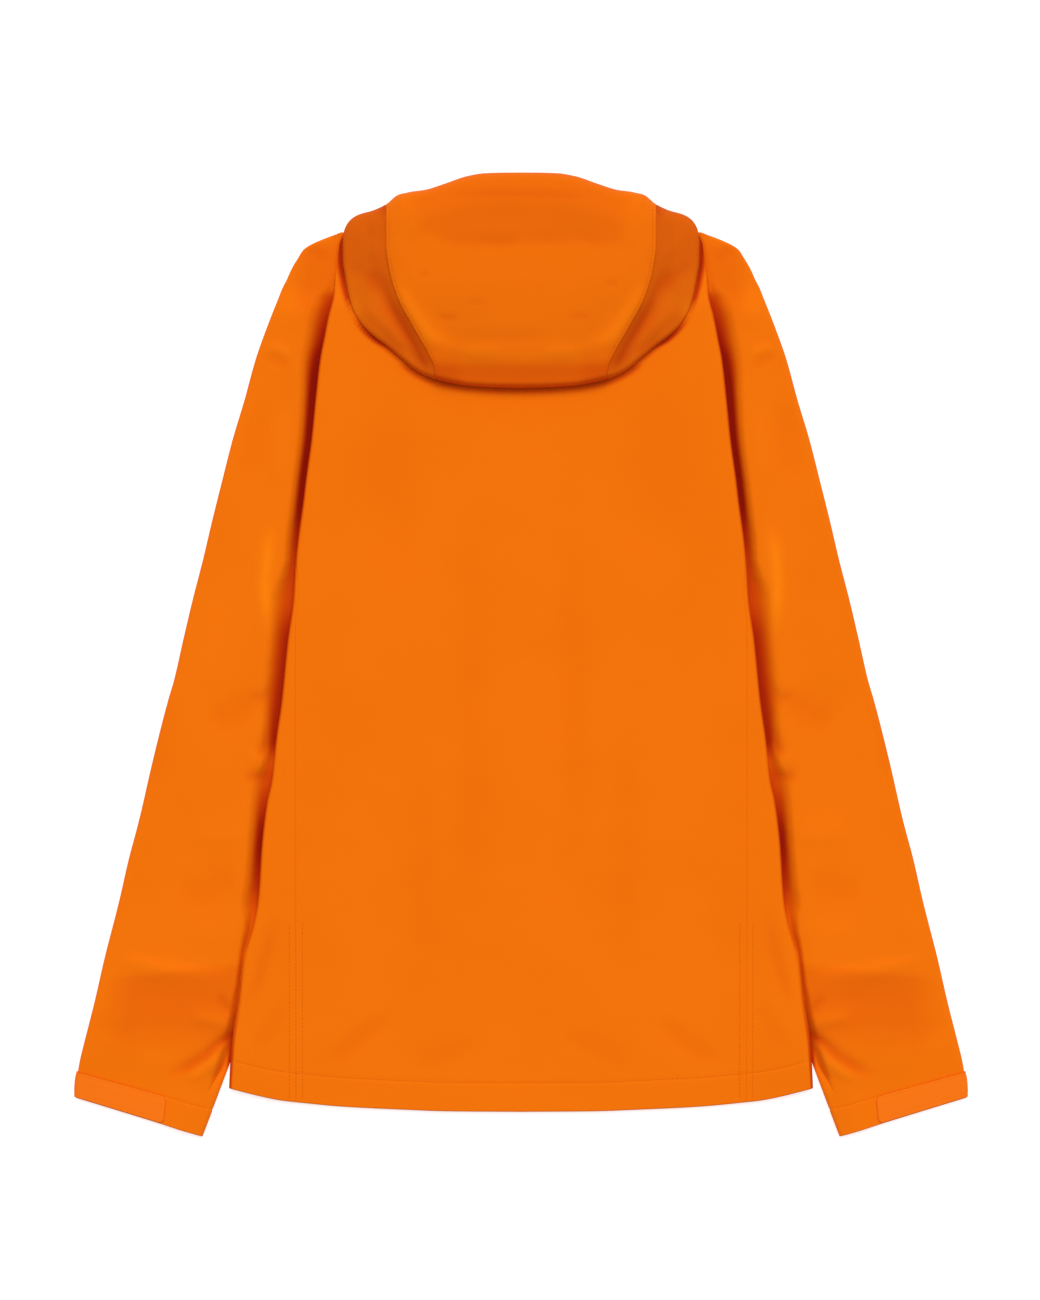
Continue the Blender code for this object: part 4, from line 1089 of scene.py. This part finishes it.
class JACKET_OT_hood(bpy.types.Operator):
    """The hood's centre and side panels, folded onto the back, over its inner layers"""

    bl_idname = "jacket.hood"
    bl_label = "Hood"

    def execute(self, context):
        sizes = context.scene.jacket_sizes
        shares = np.concatenate([np.linspace(0, 0.8, 26), np.linspace(0.8, 1.0, 18)[1:]])
        shares = np.concatenate([-shares[:0:-1], shares])
        low = at(HOOD_BOTTOM, "x", "y", np.abs(shares) * 73)
        high = at(HOOD_TOP, "x", "y", np.abs(shares) * 115)
        y = hood_places(low, high, sizes)
        x = shares[:, None] * at(HOOD_SEAM, "y", "x", y)
        grid = np.stack([x, y, hood_z(x, y, sizes)], axis=-1)
        # Painted shade on the centre panel: darker along its bottom roll and at its lower corners, and in the
        # creases' troughs, with painted light on their crests; also darker over its top above y 346, along a
        # ragged line.
        ragged = 3 * np.sin(x / 17) + 2 * np.sin(x / 6.5 + 1)
        centre_painted_shade = 0.06 * smooth((y - 346 - ragged) / 12) * smooth((100 - np.abs(x)) / 22)
        centre_painted_shade = centre_painted_shade + 0.19 * smooth((254 - y) / 12)
        centre_painted_shade = centre_painted_shade + 0.07 * smooth((np.abs(x) - 44) / 16) * smooth((269 - y) / 10)
        centre_painted_shade = centre_painted_shade + crease_painted_shade("hood", x, y)
        cloth_wall("hood_centre", grid, "hood_cloth", "hood_shell", sizes.wall / 2, flip=True, held="folded",
                   rests=("hood_layers", "back"), dusk=centre_painted_shade)
        stops = hood_places(low[-1:], high[-1:], sizes)[0]
        start, end = (int(np.argmin(np.linalg.norm(OUTLINE_LINE - p, axis=1))) for p in HOOD_SIDE_ENDS)
        path = np.vstack([[HOOD_SIDE_ENDS[0]], OUTLINE_LINE[start + 1 : end], [HOOD_SIDE_ENDS[1]]])
        arc = run(path)
        share = (stops - stops[0]) / (stops[-1] - stops[0]) * arc[-1]
        edge = np.stack([np.interp(share, arc, path[:, axis]) for axis in (0, 1)], axis=-1)
        seam = np.stack([at(HOOD_SEAM, "y", "x", stops), stops], axis=-1)
        length = np.linalg.norm(edge - seam, axis=1)[:, None]
        from_edge = np.minimum(sizes.wall / 2 + ROLL_STEPS[None, :9],
                               length * np.linspace(0.05, 0.5, 9)[None, :])
        rest = from_edge[:, -1:] + (length - from_edge[:, -1:]) * np.linspace(0, 1, 17)[None, 1:]
        t = (np.concatenate([from_edge, rest], axis=1) / length)[:, ::-1]
        place = edge[:, None, :] + (seam - edge)[:, None, :] * t[..., None]
        x, y = place[..., 0] - 2.2 * t**3, place[..., 1]
        out = x - at(HOOD_SEAM, "y", "x", y)
        under = 1.2 * (1 - smooth((out + 0.4) / 8)) * smooth((t - 0.2) / 0.3)
        side_grid = np.stack([x, y, hood_z(x, y, sizes) - under], axis=-1)
        # Painted shade on the side panels: a dark band in the valley beside the seam, darker over their upper
        # and lower parts, at the seam's top end and in a dent, painted light in one spot near the outline, and
        # the creases' painted shade and light.
        side_painted_shade = 0.26 * np.exp(-(((out - 7) / 6) ** 2)) * smooth((338 - y) / 50) * smooth((y - 240) / 16)
        side_painted_shade = side_painted_shade - 0.16 * np.exp(-(((x - 143) / 6) ** 2 + ((y - 293) / 9) ** 2))
        side_painted_shade = side_painted_shade + 0.08 * smooth((y - 318) / 24) + 0.05 * smooth((306 - y) / 20)
        side_painted_shade = side_painted_shade + 0.2 * np.exp(-((out / 7) ** 2 + ((y - 382) / 8) ** 2))
        side_painted_shade = side_painted_shade + 0.16 * np.exp(-(((out - 14) / 9) ** 2 + ((y - 319) / 9) ** 2))
        side_painted_shade = side_painted_shade + crease_painted_shade("hood", x, y)
        both_sides("hood_side", side_grid, "hood_side_cloth", "hood_shell", sizes.wall / 2, held="folded",
                   rests=("back",), dusk=side_painted_shade)
        hood_layers(sizes)
        return {"FINISHED"}


def hood_layers(sizes):
    """The hood's folded inner layers: one rounded solid whose edge shows four layers."""
    line = OUTLINE_LINE[::3]
    loop = np.vstack([line, (line * [-1, 1])[-2:0:-1]])
    centre = np.array([0.0, 322.0])
    away = (loop - centre) / np.linalg.norm(loop - centre, axis=1, keepdims=True)
    inner = loop - away * 11.0
    rings = []
    for share in np.linspace(0.03, 0.98, 36):
        place = centre + (inner - centre) * share
        rings.append(np.column_stack([place, hood_z(place[:, 0], place[:, 1], sizes) - 4.2]))
    top = hood_z(inner[:, 0], inner[:, 1], sizes) - 4.6
    low = back_z(inner[:, 0], np.minimum(inner[:, 1], 352.0), sizes) + 1.4
    for level in np.linspace(0, 1, 17):
        bulge = -0.9 * abs(math.cos(level * math.pi * 4)) ** 3
        place = inner + away * bulge
        rings.append(np.column_stack([place, top + (low - top) * level]))
    for share in (0.9, 0.5, 0.04):
        place = centre + (inner - centre) * share
        floor_z = back_z(place[:, 0], np.minimum(place[:, 1], 352.0), sizes) + 1.2
        rings.append(np.column_stack([place, floor_z]))
    rings = np.array(rings)
    grid = np.concatenate([rings, rings[:, :1]], axis=1)
    ids = grid_ids(*grid.shape[:2], 0)
    quads = quads_of(ids)[:, ::-1]
    count, width = len(rings), grid.shape[1]
    points = grid.reshape(-1, 3)
    remap = np.arange(len(points))
    remap[width - 1 :: width] = remap[::width]
    faces = [list(q) for q in remap[quads]]
    faces += [list(range(0, width - 1)), list(range((count - 1) * width, count * width - 1))[::-1]]
    obj = mesh_object("hood_layers_cloth", points, faces, finish_named("hood_cloth"))
    edit(obj)
    bpy.ops.mesh.delete_loose()
    bpy.ops.mesh.select_all(action="SELECT")
    bpy.ops.mesh.normals_make_consistent(inside=False)
    bpy.ops.object.mode_set(mode="OBJECT")
    flat = np.empty(len(obj.data.vertices) * 3, np.float32)
    obj.data.vertices.foreach_get("co", flat)
    paint_layers(obj, flat.reshape(-1, 3)[:, :2])
    belongs(obj, ("hood_layers",))


# ---- sewing and zip ----


def stitches(name, lines, sizes):
    """Rows of raised thread stitches along lines of (points, normals), as one joined mesh."""
    ring = np.array([(math.cos(a), math.sin(a)) for a in np.radians(np.arange(0, 360, 60))])
    profile = ((-0.5, 0.35), (-0.36, 0.9), (0.36, 0.9), (0.5, 0.35))
    points, faces = [], []
    for line, normals in lines:
        arc = run(line)
        for middle in np.arange(sizes.stitch, arc[-1] - sizes.stitch, sizes.stitch * 1.3):
            centre, normal = (np.array([np.interp(middle, arc, values[:, axis]) for axis in range(3)])
                              for values in (line, normals))
            ahead = np.array([np.interp(middle + 1, arc, line[:, axis]) for axis in range(3)]) - centre
            ahead /= np.linalg.norm(ahead)
            normal -= ahead * (normal @ ahead)
            normal /= np.linalg.norm(normal)
            across = np.cross(ahead, normal)
            base = len(points)
            for along, radius in profile:
                for cosine, sine in ring:
                    points.append(centre + ahead * along * sizes.stitch + across * cosine * radius * 0.3
                                  + normal * (sine * radius * 0.26 + 0.1 - 0.35 * abs(along) ** 3 * 4))
            for k in range(3):
                for i in range(6):
                    here, beside = base + 6 * k + i, base + 6 * k + (i + 1) % 6
                    faces.append((here, beside, beside + 6, here + 6))
            faces.append(tuple(base + i for i in range(5, -1, -1)))
            faces.append(tuple(base + 18 + i for i in range(6)))
    obj = mesh_object(name, points, faces, finish_named("thread"))
    paint_layers(obj)
    belongs(obj)


def line_on_back(x, y, sizes):
    z = back_z(x, y, sizes) + sizes.wall / 2
    return np.stack([x, y, z], axis=-1), np.broadcast_to([0.0, 0.0, 1.0], (len(x), 3))


class JACKET_OT_sewing(bpy.types.Operator):
    """Stitch rows at the hem, the side seams, the cuffs and the hood's seams"""

    bl_idname = "jacket.sewing"
    bl_label = "Sewing"

    def execute(self, context):
        sizes = context.scene.jacket_sizes
        x = np.linspace(-246, 246, 400)
        lines = [line_on_back(x, at(HEM, "x", "y", np.abs(x)) + HEM_DEPTH, sizes)]
        y = np.linspace(-381, -226, 160)
        for offset in SEAM_ROWS:
            for sign in (1, -1):
                lines.append(line_on_back(np.full(y.shape, sign * (SIDE_SEAM_X + offset)), y, sizes))
        stitches("body_sewing", lines, sizes)
        grid, normals, _, outline_column, from_cuff = dressed_sleeve(sizes)
        row = int(np.argmin(np.abs(from_cuff - CUFF_DEPTH)))
        up = normals[row, 6 : outline_column + 6]
        line = grid[row, 6 : outline_column + 6] + up * sizes.wall / 2
        for side, sign in SIDES:
            stitches(f"cuff_{side}_sewing", [(line * [sign, 1, 1], up * [sign, 1, 1])], sizes)
        y = np.linspace(246, 384, 120)
        lines = []
        for sign in (1, -1):
            x = sign * (at(HOOD_SEAM, "y", "x", y) - 3.2)
            z = hood_z(x, y, sizes)
            dzdx = (hood_z(x + 0.5, y, sizes) - z) * 2
            dzdy = (hood_z(x, y + 0.5, sizes) - z) * 2
            up = np.stack([-dzdx, -dzdy, np.ones_like(z)], axis=-1)
            up /= np.linalg.norm(up, axis=1, keepdims=True)
            lines.append((np.stack([x, y, z], axis=-1) + up * sizes.wall / 2, up))
        stitches("hood_sewing", lines, sizes)
        return {"FINISHED"}


def soften(node, body):
    """A cast piece in a hard node's place: a merged copy of it with its edges rounded over."""
    obj = bpy.data.objects.new(f"{node}_cast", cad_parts[node].data.copy())
    bpy.context.scene.collection.objects.link(obj)
    edit(obj)
    bpy.ops.mesh.remove_doubles(threshold=0.01 * MM)
    bpy.ops.mesh.dissolve_limited(angle_limit=math.radians(2))
    bpy.ops.object.mode_set(mode="OBJECT")
    bpy.ops.object.modifier_add(type="BEVEL")
    bevel = obj.modifiers[-1]
    bevel.width, bevel.segments = 0.22 * MM, 3
    bevel.limit_method, bevel.angle_limit = "ANGLE", math.radians(24)
    bpy.ops.object.modifier_apply(modifier=bevel.name)
    bpy.ops.object.shade_smooth_by_angle(angle=math.radians(35))
    obj.data.materials.clear()
    obj.data.materials.append(finish_named("slider_paint"))
    belongs(obj, (node,), body)


class JACKET_OT_zip(bpy.types.Operator):
    """Zip tapes, coil teeth, and the finish of the slider and its pull tab"""

    bl_idname = "jacket.zip"
    bl_label = "Zip"

    def execute(self, context):
        y = ladder(-386.0, 387.0, 6.0)
        z = at(ZIP_ROWS, "y", "z", y)
        x = np.array([SEAM / 2, 1.2, 2.4, 5.0, 9.0, TAPE_WIDTH])
        grid = np.stack(np.broadcast_arrays(x, y[:, None], z[:, None]), axis=-1)
        both_sides("zip_tape", grid, "tape_cloth", "zip_tape", 0.4, rests=("front_{}",))
        deselect()
        bpy.ops.mesh.primitive_cylinder_add(
            vertices=6, radius=0.45 * MM, depth=3.4 * MM, rotation=(0, math.pi / 2, 0))
        tooth = context.object
        bpy.ops.object.transform_apply(location=True, rotation=True, scale=True)
        edit(tooth)
        bpy.ops.mesh.bevel(offset=0.12 * MM, segments=1)
        bpy.ops.object.mode_set(mode="OBJECT")
        shape = np.array([vertex.co[:] for vertex in tooth.data.vertices]) / MM
        faces = [list(polygon.vertices) for polygon in tooth.data.polygons]
        bpy.data.objects.remove(tooth)
        points, all_faces = [], []
        for i, place in enumerate(np.arange(-382.0, 372.0, TOOTH_PITCH)):
            skew = 0.35 if i % 2 else -0.35
            centre = np.array([skew, place, at(ZIP_ROWS, "y", "z", place) - TOOTH_DROP])
            all_faces += [[v + len(shape) * i for v in face] for face in faces]
            points.append(shape + centre)
        coil = mesh_object("zip_coil", np.concatenate(points), all_faces, finish_named("tape_cloth"))
        paint_layers(coil)
        belongs(coil)
        soften("zip_slider", "jacket")
        soften("zip_pull", "pull_tab")
        return {"FINISHED"}


STEPS = (JACKET_OT_studio, JACKET_OT_fronts, JACKET_OT_back, JACKET_OT_sides, JACKET_OT_sleeves,
         JACKET_OT_cuff_tabs, JACKET_OT_hood, JACKET_OT_sewing, JACKET_OT_zip)


class JACKET_PT_steps(bpy.types.Panel):
    """The jacket's sizes, colours and steps"""

    bl_idname = "JACKET_PT_steps"
    bl_label = "Jacket"
    bl_space_type = "VIEW_3D"
    bl_region_type = "UI"
    bl_category = "Jacket"

    def draw(self, context):
        for group in (context.scene.jacket_sizes, context.scene.jacket_colours):
            box = self.layout.box()
            for name in group.__annotations__:
                box.prop(group, name)
        for step in STEPS:
            self.layout.operator(step.bl_idname)


def register():
    for item in (JacketSizes, JacketColours, *STEPS, JACKET_PT_steps):
        bpy.utils.register_class(item)
    bpy.types.Scene.jacket_sizes = PointerProperty(type=JacketSizes)
    bpy.types.Scene.jacket_colours = PointerProperty(type=JacketColours)


def unregister():
    del bpy.types.Scene.jacket_sizes, bpy.types.Scene.jacket_colours
    for item in (JACKET_PT_steps, *STEPS[::-1], JacketColours, JacketSizes):
        bpy.utils.unregister_class(item)


def main():
    register()
    for step in STEPS:
        group, name = step.bl_idname.split(".")
        getattr(getattr(bpy.ops, group), name)()


if __name__ == "__main__":
    main()
